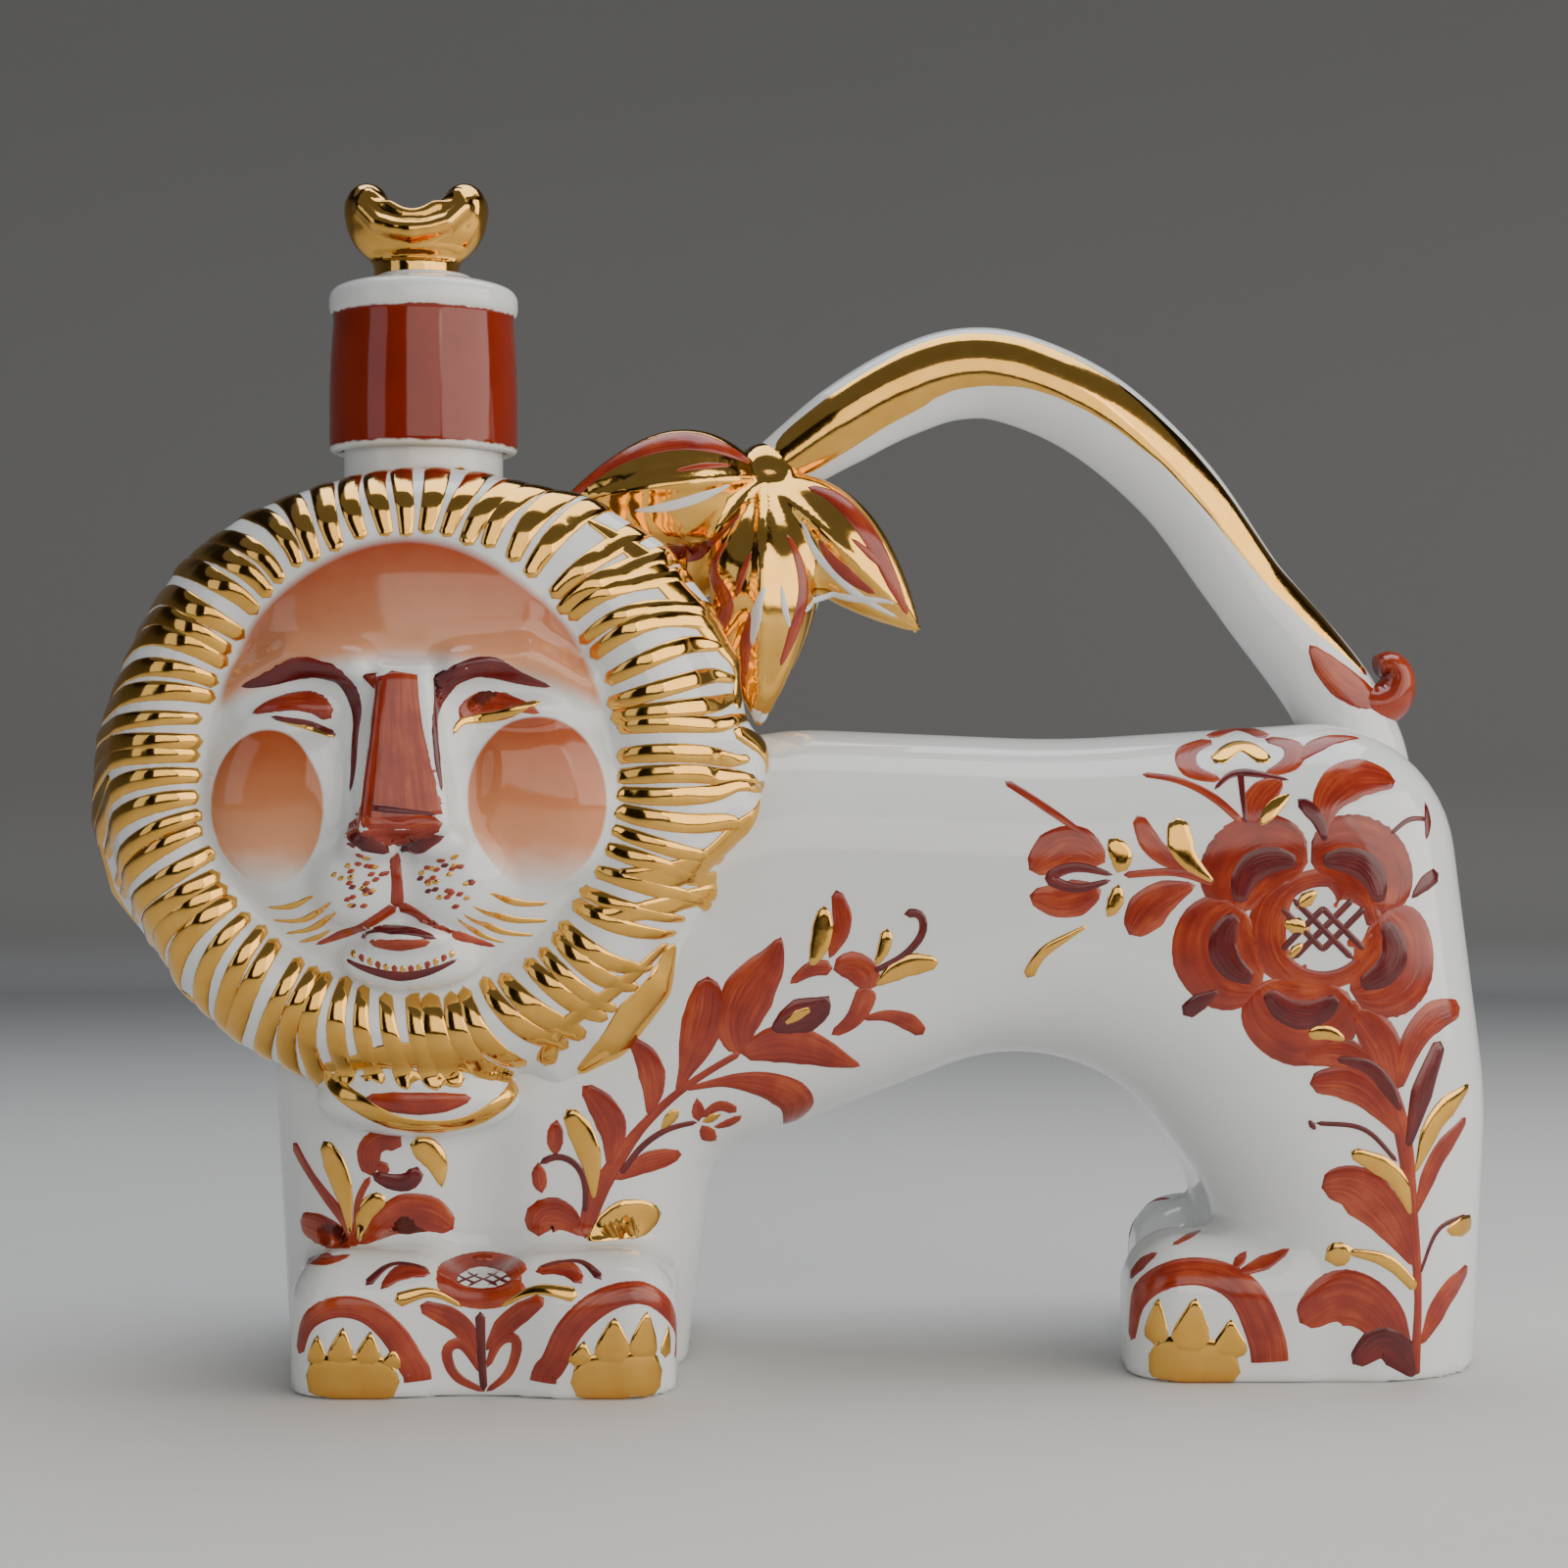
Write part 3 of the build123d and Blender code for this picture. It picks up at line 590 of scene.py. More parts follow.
def airbrushed_porcelain():
    """Glazed porcelain with sprayed iron-red enamel: rust high on forehead and cheeks, fading to white."""
    made = porcelain.copy()
    made.name = "airbrushed_porcelain"
    tree = made.node_tree
    shader = next(item for item in tree.nodes if item.type == "BSDF_PRINCIPLED")
    colour = shader.inputs["Base Color"].links[0].from_socket
    place = node(tree, "ShaderNodeTexCoord").outputs["Object"]
    for index, (middle, radii, thick, faded, deep, pale) in enumerate(SPRAYED):
        middle, radii = tuple(to_frame(middle)), tuple(radius / 1000 for radius in radii)
        away = node(tree, "ShaderNodeVectorMath", {0: place, 1: middle}, operation="SUBTRACT").outputs[0]
        share = node(tree, "ShaderNodeVectorMath", {0: away, 1: radii}, operation="DIVIDE").outputs[0]
        size = node(tree, "ShaderNodeVectorMath", {0: share}, operation="LENGTH").outputs["Value"]
        within = node(tree, "ShaderNodeMapRange", {0: size, 1: 1.0, 2: 0.965}).outputs[0]
        height = node(tree, "ShaderNodeSeparateXYZ", {0: place}).outputs["Z"]
        if index == 0:
            # The forehead's lower edge is an arch over the brows
            across = node(tree, "ShaderNodeSeparateXYZ", {0: away}).outputs["X"]
            bow = node(tree, "ShaderNodeMath", {0: across, 1: across}, operation="MULTIPLY").outputs[0]
            height = node(tree, "ShaderNodeMath", {0: bow, 1: 7.5, 2: height},
                          operation="MULTIPLY_ADD").outputs[0]
            edge = node(tree, "ShaderNodeMapRange", {0: height, 1: 0.1262, 2: 0.1306},
                        interpolation_type="SMOOTHSTEP").outputs[0]
            within = node(tree, "ShaderNodeMath", {0: within, 1: edge}, operation="MULTIPLY").outputs[0]
        spray = node(tree, "ShaderNodeMapRange", {0: height, 1: faded / 1000, 2: thick / 1000}).outputs[0]
        # The spray's droplets mottle it every 3 mm or so, drawn coarser than they are
        mottle = node(tree, "ShaderNodeTexNoise", {"Vector": place, "Scale": 1000 / 3.33, "Detail": 3.0})
        mottle = node(tree, "ShaderNodeMapRange", {0: mottle.outputs["Fac"], 3: -0.05, 4: 0.05}).outputs[0]
        spray = node(tree, "ShaderNodeMath", {0: spray, 1: mottle}, operation="ADD", use_clamp=True).outputs[0]
        tone = node(tree, "ShaderNodeMix", {0: spray, 6: srgb(pale), 7: srgb(deep)}, data_type="RGBA")
        cover = node(tree, "ShaderNodeMapRange", {0: spray, 1: 0.0, 2: 0.32}, interpolation_type="SMOOTHSTEP")
        cover = node(tree, "ShaderNodeMath", {0: cover.outputs[0], 1: within}, operation="MULTIPLY").outputs[0]
        layers = {0: cover, 6: colour, 7: tone.outputs[2]}
        colour = node(tree, "ShaderNodeMix", layers, data_type="RGBA").outputs[2]
    tree.links.new(colour, shader.inputs["Base Color"])
    return made


head.data.materials.append(airbrushed_porcelain())
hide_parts("head", "mane_lobes")
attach(head, "body")


# The locks of the mane: some seventy strokes of liquid bright gold laid over the swell of the mane in
# low ridges, from the face outward and round to the back. The gold is fired on last, at a low heat, and
# comes out of the kiln bright.

STROKE_STEP, LANE_WIDTH = 0.9, 1.6  # the mesh of a stroke, along it and across it
SPREAD = 0.6  # half a stroke's width, with what its sunk edges and the swell under it take away
SUNK = 0.12  # how deep a stroke's edges lie in the glaze
FULL_WIDTH = 1.2  # a stroke narrower than this stands less proud


def stroke(skin, knots, widths, lift=0.14, crown=0.0, tone=0.5, tip=9.0):
    """One brush stroke laid on a skin: its points, faces and marks (share along, share across, tone).

    A round brush gives it round ends; tip limits their radius, as a flat brush does. The paint stands
    proud of the skin by lift, and by crown more along its middle.
    """
    path = soft_path(knots, STROKE_STEP)
    steps = np.linalg.norm(np.diff(path, axis=0), axis=1)
    along = np.concatenate([[0], np.cumsum(steps)])
    share = along / along[-1]
    width = np.interp(share, np.linspace(0, 1, len(widths)), widths)
    from_end = np.minimum(along, along[-1] - along)
    blunt = np.clip(from_end / np.minimum(np.maximum(width, 0.4) * 0.5, tip), 0, 1)
    width = np.maximum(width * np.sqrt(blunt * (2 - blunt)), 0.05)
    snapped = [skin.find_nearest(Vector(spot)) for spot in path]
    middle = np.array([hit[0] for hit in snapped])
    normal = np.array([hit[1] for hit in snapped])
    for _ in range(3):
        normal[1:-1] = (normal[:-2] + normal[1:-1] + normal[2:]) / 3
        middle[1:-1] = (middle[:-2] + 2 * middle[1:-1] + middle[2:]) / 4
    heading = np.gradient(middle, axis=0)
    side = np.cross(normal, heading)
    side /= np.linalg.norm(side, axis=1)[:, None] + 1e-9
    lanes = max(3, int(max(widths) / LANE_WIDTH)) * 2 + 1
    offsets = np.sin(np.linspace(-pi / 2, pi / 2, lanes))
    offsets = 0.5 * offsets + 0.5 * np.linspace(-1, 1, lanes)
    points, faces, marks = [], [], []
    for row, spot in enumerate(middle):
        full = min(1.0, width[row] / FULL_WIDTH)
        for offset in offsets:
            hit, facing = skin.find_nearest(Vector(spot + side[row] * offset * width[row] * SPREAD))[:2]
            edge = abs(offset) ** 6
            rise = (lift + crown * (1 - offset ** 2)) * full
            facing = (np.array(facing) + normal[row]) / 2
            points.append(np.array(hit) + facing * (rise * (1 - edge) - SUNK * edge))
            marks.append((share[row], offset, tone))
    for row in range(len(middle) - 1):
        for lane in range(lanes):
            start = row * lanes + lane
            after = row * lanes + (lane + 1) % lanes
            faces.append((start, after, after + lanes, start + lanes))
    first = list(range(lanes))
    faces.append(tuple(reversed(first)))
    faces.append(tuple(lane + (len(middle) - 1) * lanes for lane in first))
    return points, faces, marks


def strokes_object(name, strokes, material):
    """Joins brush strokes into one object that carries their marks."""
    points, faces, marks = [], [], []
    for some_points, some_faces, some_marks in strokes:
        start = len(points)
        points += some_points
        faces += [tuple(corner + start for corner in face) for face in some_faces]
        marks += some_marks
    made = mesh_object(name, points, faces)
    layer = made.data.attributes.new("stroke", "FLOAT_VECTOR", "POINT")
    layer.data.foreach_set("vector", np.array(marks, dtype=float).ravel())
    made.data.materials.append(material)
    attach(made, "body")
    return made


# Arc length over the mane from the edge of the face, backwards
mane_section = soft_path([spot for spot in HEAD_SECTION if spot[0] > 36 or spot[1] > 0][:-1], 1.0)
mane_reach = np.concatenate([[0], np.cumsum(np.linalg.norm(np.diff(mane_section, axis=0), axis=1))])

# How far the far end of a lock trails sideways, in degrees, by the angle of its root
COMB_ANGLES = [0, 15, 30, 45, 60, 75, 90, 105, 120, 150, 180, 210, 240, 270, 285, 300, 315, 330, 345, 360]
COMB_TRAIL = [0, -6, -11, -15, -13, -7, 1, 8, 15, 18, 18, 14, 12, 18, 22, 24, 20, 12, 5, 0]


def mane_spot(degrees, reach):
    """A point over the mane at an angle and a distance over its swell from the edge of the face."""
    radius = np.interp(reach, mane_reach, mane_section[:, 0])
    y = np.interp(reach, mane_reach, mane_section[:, 1])
    rim = rim_radius(degrees % 360) / HEAD_RADIUS
    radius = radius * rim * face_oval(np.sin(np.radians(degrees)), radius)
    return round_head(degrees, radius, np.asarray(y, dtype=float))


def comb_trail(degrees):
    """How far a lock trails sideways, by the angle of its root."""
    return np.interp(degrees % 360, COMB_ANGLES, COMB_TRAIL)


LOCKS, BACK_LOCKS = 68, 44
LOCK_WIDTHS = np.array([2.2, 3.1, 3.5, 3.7, 3.5, 1.9])
BACK_LOCK_WIDTHS = [1.0, 4.0, 5.0, 3.8, 0.8]
LOCK_LIFT, LOCK_CROWN = 0.16, 0.22
LOCK_SWAY = 1.1  # degrees to either side
BACK_START, BACK_LENGTH, BACK_TRAIL = 56, 30, 5  # millimetres over the swell of the mane, and degrees
# Where a lobe's own gold crosses the locks: from and to which angle, where the locks stop and start again
LOBE_ZONES = [(-76, -24, 22.0, 36.0), (-24, 26, 30.0, 35.0), (190, 224, 30.0, 35.0)]
chance = np.random.RandomState(11)
locks = []
for index in range(LOCKS):
    root = 360 * (index + 0.25 * chance.uniform(-1, 1)) / LOCKS
    trail = comb_trail(root)
    start, end = chance.uniform(0.0, 1.6), chance.uniform(44, 52)
    spans = [(start, end)]
    for low, high, stop, again in LOBE_ZONES:
        if low < (root + trail / 2 + 90) % 360 - 90 < high:
            spans = [(start, stop), (again, end)]
    # A lock is broader where the locks beside it fan out, and narrower where they close up
    fan = 1 + (comb_trail(root + 3) - comb_trail(root - 3)) / 6
    broader = np.clip(np.linspace(1, fan, len(LOCK_WIDTHS)), 0.55, 1.15)
    widths = LOCK_WIDTHS * broader * chance.uniform(0.86, 1.12)
    for near, far in spans:
        knots = []
        for reach in np.linspace(near, far, 7):
            share = (reach - start) / (end - start)
            sway = LOCK_SWAY * sin(2 * pi * share + index)
            knots.append(mane_spot(root + trail * share ** 1.5 + sway, reach))
        locks.append(stroke(head_skin, knots, widths, LOCK_LIFT, LOCK_CROWN, chance.uniform(0, 1)))
for index in range(BACK_LOCKS):
    root = 360 * (index + 0.3 * chance.uniform(-1, 1)) / BACK_LOCKS
    knots = [
        mane_spot(root + BACK_TRAIL * share ** 2, BACK_START + BACK_LENGTH * share)
        for share in np.linspace(0, 1, 5)
    ]
    locks.append(stroke(head_skin, knots, BACK_LOCK_WIDTHS, LOCK_LIFT, LOCK_CROWN, chance.uniform(0, 1)))


def bright_gold():
    """Burnished liquid gold on glaze: a mirror, warm and deep, with the faint unevenness of a brush."""
    made, tree, shader = new_material("bright_gold_on_glaze")
    place = node(tree, "ShaderNodeTexCoord").outputs["Object"]
    # Clouds about 4 mm wide where the gold is thicker or thinner, and wear in spots of a millimetre
    cloud = node(tree, "ShaderNodeTexNoise", {"Vector": place, "Scale": 1000 / 3.85, "Detail": 4.0})
    thick, thin = srgb("e2a545"), srgb("f1bf68")
    tone = node(tree, "ShaderNodeMix", {0: cloud.outputs[0], 6: thick, 7: thin}, data_type="RGBA")
    tree.links.new(tone.outputs[2], shader.inputs["Base Color"])
    wear = node(tree, "ShaderNodeTexNoise", {"Vector": place, "Scale": 1000 / 1.11, "Detail": 2.0})
    rough = node(tree, "ShaderNodeMapRange", {0: wear.outputs[0], 3: 0.05, 4: 0.16})
    tree.links.new(rough.outputs[0], shader.inputs["Roughness"])
    bump = node(tree, "ShaderNodeBump", {"Strength": 0.12, "Distance": 0.0003, "Height": cloud.outputs[0]})
    tree.links.new(bump.outputs[0], shader.inputs["Normal"])
    shader.inputs["Metallic"].default_value = 1.0
    return made


gold = bright_gold()
gilt_locks = strokes_object("mane_locks_gold", locks, gold)
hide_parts("mane_locks")


# The painted face: maroon and iron-red enamel drawn with a pointed brush over the glaze, and a second
# round of strokes in bright gold. Places are pixels of a 1600 x 1600 picture from this scene's camera,
# thrown onto the porcelain, with the widths of each stroke, and how proud it stands, in millimetres.

PICTURE_WIDTH, PICTURE_MIDDLE = 1600, 800
PIXELS_PER_SLOPE = LENS / SENSOR_WIDTH * PICTURE_WIDTH
EYE = Vector((CAMERA_X, -CAMERA_DISTANCE, CAMERA_HEIGHT))
SKIN_AHEAD = 25  # about how far the porcelain stands ahead of the spine, for a pixel that misses it


def seen(skin, pixels):
    """The points of a skin that show at these pixels from the camera."""
    spots = []
    for across, down in pixels:
        right, up = (across - PICTURE_MIDDLE) / PIXELS_PER_SLOPE, (PICTURE_MIDDLE - down) / PIXELS_PER_SLOPE
        ray = Vector((right, 1.0, up))
        hit = skin.ray_cast(EYE, ray.normalized())[0]
        if hit is None:
            hit = skin.find_nearest(EYE + ray * (CAMERA_DISTANCE - SKIN_AHEAD))[0]
        spots.append(tuple(hit))
    return spots


def drawn(skin, table, mirrored=False):
    """Brush strokes from a table of pixels, widths and lift; mirrored ones go on the far side."""
    made = []
    for index, (pixels, widths, lift) in enumerate(table):
        spots = np.array(seen(skin, pixels))
        if mirrored:
            spots = spots * (1, -1, 1)
        made.append(stroke(skin, spots, widths, lift, tone=(index * 0.37) % 1))
    return made


def mirror_pixels(table, axis):
    """The same strokes on the other side of an upright line."""
    return [([(2 * axis - across, down) for across, down in pixels], widths, lift)
            for pixels, widths, lift in table]


def iron_red(name, deep, plain, thin):
    """Iron-oxide enamel brushed on glaze: glossy, thinner and more orange between the hairs' streaks."""
    made, tree, shader = new_material(name)
    marks = node(tree, "ShaderNodeAttribute", attribute_name="stroke").outputs["Vector"]
    across = node(tree, "ShaderNodeSeparateXYZ", {0: marks}).outputs["Y"]
    place = node(tree, "ShaderNodeTexCoord").outputs["Object"]
    # Hairs of the brush leave sixteen streaks across a stroke, half a millimetre apart on one 8 mm wide,
    # and the enamel pools in patches of about 6 mm
    hair = node(tree, "ShaderNodeVectorMath", {0: marks, 1: (1.5, 5.0, 9.0)}, operation="MULTIPLY").outputs[0]
    streak = node(tree, "ShaderNodeTexNoise", {"Vector": hair, "Scale": 1.6, "Detail": 3.0}).outputs["Fac"]
    pool = node(tree, "ShaderNodeTexNoise", {"Vector": place, "Scale": 1000 / 5.88, "Detail": 3.0}).outputs[0]
    mix = node(tree, "ShaderNodeMath", {0: streak, 1: pool}, operation="ADD").outputs[0]
    side = node(tree, "ShaderNodeMath", {0: across, 1: 0.16, 2: mix}, operation="MULTIPLY_ADD").outputs[0]
    depth = node(tree, "ShaderNodeMapRange", {0: side, 1: 0.65, 2: 1.35}).outputs[0]
    tones = node(tree, "ShaderNodeValToRGB", {0: depth})
    tones.color_ramp.elements[0].color = srgb(deep)
    tones.color_ramp.elements[1].color = srgb(thin)
    tones.color_ramp.elements.new(0.5).color = srgb(plain)
    tree.links.new(tones.outputs[0], shader.inputs["Base Color"])
    bump = node(tree, "ShaderNodeBump", {"Strength": 0.12, "Distance": 0.0003, "Height": streak})
    tree.links.new(bump.outputs[0], shader.inputs["Normal"])
    shader.inputs["Roughness"].default_value = 0.14
    shader.inputs["IOR"].default_value = 1.55
    return made


red = iron_red("iron_red_enamel", "7a2014", "963019", "b4502a")
maroon = iron_red("maroon_enamel", "4c1013", "5e1619", "7a2620")

BROW = [
    ([(246, 701), (278, 692), (312, 681), (344, 690), (360, 710), (364, 740), (361, 775), (357, 808)],
     [0.6, 2.8, 5.0, 4.8, 2.8, 1.5, 1.4, 0.6], 0.14),
]
UPPER_LID = [([(257, 728), (288, 717), (317, 716), (339, 733)], [0.6, 3.2, 4.4, 2.4], 0.14)]
LOWER_LID = [([(276, 731), (312, 738), (343, 750)], [0.7, 1.5, 1.2], 0.2)]
NOSE = [(400, 684), (401, 735), (403, 790), (404, 838)]
NOSE_WIDTHS = [8.0, 8.4, 9.4, 11.2, 13.4, 15.8]
NOSE_TIP = [([(356, 840), (380, 846), (404, 849), (428, 846), (452, 840)], [2.2, 6.4, 7.6, 6.4, 2.2], 0.2)]
# Painted shadow: a dark maroon line across the nose, above its tip
NOSE_PAINTED_SHADOW = [([(362, 831), (405, 827), (447, 831)], [0.6, 1.3, 0.6], 0.26)]
NOSTRIL = [([(354, 853), (374, 858), (398, 870)], [0.9, 4.0, 0.9], 0.26)]
MOUTH = [
    ([(405, 870), (405, 900), (405, 926)], [1.8, 1.9, 2.4], 0.14),
    ([(405, 924), (380, 940), (350, 953), (322, 964)], [2.2, 2.0, 1.6, 0.6], 0.16),
    ([(406, 924), (440, 944), (472, 956), (506, 966)], [2.2, 2.0, 1.6, 0.6], 0.16),
    ([(376, 961), (407, 965), (440, 961)], [1.2, 2.8, 1.2], 0.14),
]
LIPS = [
    ([(368, 957), (405, 948), (446, 958)], [0.7, 2.8, 0.7], 0.18),
    ([(352, 978), (380, 991), (408, 997), (440, 991), (468, 978)], [0.5, 1.3, 2.0, 1.3, 0.5], 0.14),
]
WHISKERS = [
    ([(272, 926), (298, 925), (320, 914)], [0.4, 1.2, 0.4], 0.14),
    ([(278, 939), (312, 938), (339, 920)], [0.4, 1.2, 0.4], 0.14),
    ([(291, 953), (322, 946), (344, 930)], [0.4, 1.2, 0.4], 0.14),
    ([(304, 962), (326, 956), (338, 948)], [0.4, 1.0, 0.4], 0.14),
    ([(498, 910), (525, 921), (559, 922)], [0.4, 1.3, 0.7], 0.14),
    ([(482, 924), (515, 937), (559, 940)], [0.4, 1.3, 0.7], 0.14),
    ([(472, 932), (506, 949), (545, 955)], [0.4, 1.2, 0.5], 0.14),
    ([(466, 936), (490, 954), (516, 962)], [0.4, 1.0, 0.4], 0.14),
]
LID_GOLD = [
    ([(462, 750), (471, 735), (506, 731), (552, 716)], [0.8, 1.6, 1.9, 0.9], 0.2),
    ([(281, 733), (312, 741), (342, 752)], [0.5, 1.0, 0.8], 0.26),
]
BEARD_RED = [
    ([(373, 1120), (400, 1125), (427, 1127), (455, 1125), (481, 1120)], [1.2, 3.6, 4.2, 3.6, 1.2], 0.14),
]
# The two rims of the beard, the waves at the mane's right, the two below it, and the edges of two lobes
LOBE_GOLD = [
    ([(330, 1090), (400, 1078), (470, 1082), (524, 1100)], [2.0, 5.0, 5.0, 2.6], 0.2),
    ([(326, 1094), (362, 1124), (415, 1149), (470, 1148), (510, 1128), (526, 1104)],
     [2.4, 3.4, 3.6, 3.4, 2.4], 0.2),
    ([(748, 745), (782, 765), (780, 805), (757, 848), (728, 874), (684, 893), (628, 892)],
     [2.0, 5.4, 6.0, 5.8, 5.4, 4.8, 1.8], 0.3),
    ([(594, 930), (640, 932), (700, 918), (738, 900)], [1.6, 3.4, 3.4, 1.0], 0.3),
    ([(688, 962), (672, 1012), (630, 1068), (590, 1096)], [1.5, 6.0, 9.0, 7.0, 2.5], 0.3),
    ([(682, 962), (630, 1008), (572, 1050), (556, 1088)], [1.5, 2.8, 3.2, 3.4], 0.34),
    ([(598, 530), (648, 562), (700, 612), (738, 654), (754, 692), (752, 724)],
     [1.2, 4.2, 5.4, 6.0, 5.0, 1.6], 0.3),
    ([(112, 792), (96, 838), (112, 900), (155, 972), (200, 1022)], [1.6, 5.0, 5.6, 5.2, 4.4, 2.0], 0.3),
]

# Freckles strewn over the two whisker pads, each pad an oval in pixels, and dots in a bow under the lip
WHISKER_PADS, PAD_ACROSS, PAD_DOWN = ((367, 897), (455, 897)), 29, 27
PAD_FRECKLES = 30
FRECKLE_COLOURS = ("red", "red", "gold", "red", "maroon", "gold")
CHIN_DOTS, CHIN_START, CHIN_ACROSS, CHIN_DROP = 13, (359, 969), 104, 16
freckles = {"red": [], "gold": [], "maroon": []}
for pad_x, pad_y in WHISKER_PADS:
    for index in range(PAD_FRECKLES):
        turn, away = chance.uniform(0, 2 * pi), sqrt(chance.uniform(0.02, 1))
        x, y = pad_x + PAD_ACROSS * away * cos(turn), pad_y - PAD_DOWN * away * sin(turn)
        colour = FRECKLE_COLOURS[index % len(FRECKLE_COLOURS)]
        freckles[colour].append(([(x, y), (x + 2, y + 5)], [1.6, 1.5], 0.16))
for index in range(CHIN_DOTS):
    share = index / (CHIN_DOTS - 1)
    x, y = CHIN_START[0] + CHIN_ACROSS * share, CHIN_START[1] + CHIN_DROP * sin(pi * share)
    colour = ("gold", "red")[index % 2]
    freckles[colour].append(([(x, y), (x + 7 * (0.5 - share), y + 9)], [1.1, 1.0, 0.4], 0.16))

MIDLINE = 404.0  # the pixels' upright line between the eyes
face_red = UPPER_LID + mirror_pixels(UPPER_LID, MIDLINE) + NOSE_TIP + MOUTH + freckles["red"]
face_maroon = BROW + mirror_pixels(BROW, MIDLINE) + NOSTRIL + mirror_pixels(NOSTRIL, MIDLINE) + LIPS
face_maroon += LOWER_LID + NOSE_PAINTED_SHADOW + freckles["maroon"]
for name, table, enamel, slot in (
    ("face_iron_red", face_red + BEARD_RED, red, "red_porcelain"),
    ("face_maroon", face_maroon, maroon, "red_porcelain"),
    ("face_gold", WHISKERS + freckles["gold"] + LID_GOLD, gold, "gilt_porcelain"),
    ("mane_lobes_gold", LOBE_GOLD, gold, "gilt_porcelain"),
):
    painted = drawn(head_skin, table)
    if name == "face_iron_red":
        # The long bar of the nose is one pull of a flat brush
        painted.append(stroke(head_skin, seen(head_skin, NOSE), NOSE_WIDTHS, tone=0.3, tip=0.8))
    strokes_object(name, painted, enamel)


# The tail: a solid porcelain arch over the back that serves as the handle. Its upper side comes to a soft
# crest, and a broad band of gold runs along both flanks of the crest from the tuft down to the rump.

TAIL_LINE = [
    (174.2, 99.3), (172.0, 119.0), (153.6, 143.9), (140.5, 162.2), (125.3, 176.0), (110.2, 183.2),
    (99.3, 184.2), (88.6, 180.8), (76.8, 174.2), (62.6, 164.4),
]
TAIL_HALF_THICKNESS = [12.6, 8.6, 7.4, 7.8, 8.4, 8.6, 8.6, 8.3, 7.6, 5.6]
TAIL_HALF_DEPTH = [12.0, 8.2, 7.2, 7.5, 7.9, 8.0, 8.0, 7.8, 7.2, 5.4]


def swept(path, half_up, half_out, around=40):
    """A bar of oval section along a path in the spine plane, with its half sizes at each point of the path."""
    path = np.asarray(path, dtype=float)
    heading = np.gradient(path, axis=0)
    heading /= np.linalg.norm(heading, axis=1)[:, None]
    up = np.cross((0, 1, 0), heading)
    turn = np.linspace(0, 2 * pi, around, endpoint=False)
    rise, out = np.cos(turn), np.sin(turn)
    points = np.concatenate([
        spot + rise[:, None] * high * lift + out[:, None] * wide * np.array((0, 1, 0))
        for spot, lift, high, wide in zip(path, up, half_up, half_out)
    ])
    faces = [
        (row * around + side, row * around + (side + 1) % around,
         (row + 1) * around + (side + 1) % around, (row + 1) * around + side)
        for row in range(len(path) - 1)
        for side in range(around)
    ]
    last = len(path) - 1
    faces.append(tuple(reversed(range(around))))
    faces.append(tuple(range(last * around, last * around + around)))
    return points, faces


def along_line(line, sizes, step=1.0):
    """A soft path along a line of x and z in the spine plane, and each list of sizes spread over it."""
    knots = np.array([(x, 0.0, z) for x, z in line])
    path = soft_path(knots, step)
    at_knots = np.concatenate([[0], np.cumsum(np.linalg.norm(np.diff(knots, axis=0), axis=1))])
    along = np.concatenate([[0], np.cumsum(np.linalg.norm(np.diff(path, axis=0), axis=1))])
    share = along / along[-1] * at_knots[-1]
    return path, [np.interp(share, at_knots, size) for size in sizes]


tail_path, (tail_up, tail_out) = along_line(TAIL_LINE, (TAIL_HALF_THICKNESS, TAIL_HALF_DEPTH))
tail_points, tail_faces = swept(tail_path, tail_up, tail_out)
tail = mesh_object("tail_porcelain", tail_points, tail_faces)
tail.data.materials.append(porcelain)
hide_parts("tail")
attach(tail, "body")
tail_skin = BVHTree.FromPolygons(tail_points.tolist(), tail_faces)

# Each flank's band of gold: share of the tail's length, lean from its top in degrees, width
TAIL_GOLD = [
    (0.155, 30, 1.6), (0.24, 40, 6.2), (0.325, 50, 6.4), (0.41, 58, 7.2), (0.495, 63, 8.0), (0.58, 66, 9.2),
    (0.665, 70, 10.8), (0.75, 76, 12.4), (0.835, 84, 13.8), (0.92, 88, 13.6), (0.985, 90, 12.0),
]
tail_heading = np.gradient(tail_path, axis=0)
tail_heading /= np.linalg.norm(tail_heading, axis=1)[:, None]
tail_top = np.cross((0, 1, 0), tail_heading)
tail_bands = []
for side in (-1, 1):
    knots = []
    for share, lean, width in TAIL_GOLD:
        row = int(share * (len(tail_path) - 1))
        upward = tail_top[row] * tail_up[row] * cos(radians(lean))
        outward = np.array((0, side, 0)) * tail_out[row] * sin(radians(lean))
        knots.append(tail_path[row] + upward + outward)
    tail_bands.append(stroke(tail_skin, knots, [width for share, lean, width in TAIL_GOLD], lift=0.12))
strokes_object("tail_gold", tail_bands, gold)


# The scroll at the root of the tail: a small roll of clay pulled off the tail, which stands a little proud
# of the rump. It is glazed and painted with iron red enamel, and the red runs on up both flanks of the
# tail to the end of the gold.

SCROLL_LINE = [
    (161.0, 137.0), (166.0, 130.4), (171.2, 124.6), (176.4, 121.2), (180.8, 122.4), (182.4, 126.2),
    (181.0, 129.0), (178.8, 128.8),
]
SCROLL_HALF_THICKNESS = [1.6, 3.0, 4.0, 4.6, 4.2, 3.2, 2.7, 2.1]
SCROLL_HALF_DEPTH = [2.4, 5.0, 6.6, 7.2, 7.0, 6.6, 6.2, 5.4]
scroll_sizes = (SCROLL_HALF_THICKNESS, SCROLL_HALF_DEPTH)
scroll_path, (scroll_up, scroll_out) = along_line(SCROLL_LINE, scroll_sizes, step=0.7)
scroll_points, scroll_faces = swept(scroll_path, scroll_up, scroll_out, around=32)
scroll = mesh_object("scroll_porcelain", scroll_points, scroll_faces)
scroll.data.materials.append(red)
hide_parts("tail_curl")
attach(scroll, "body")

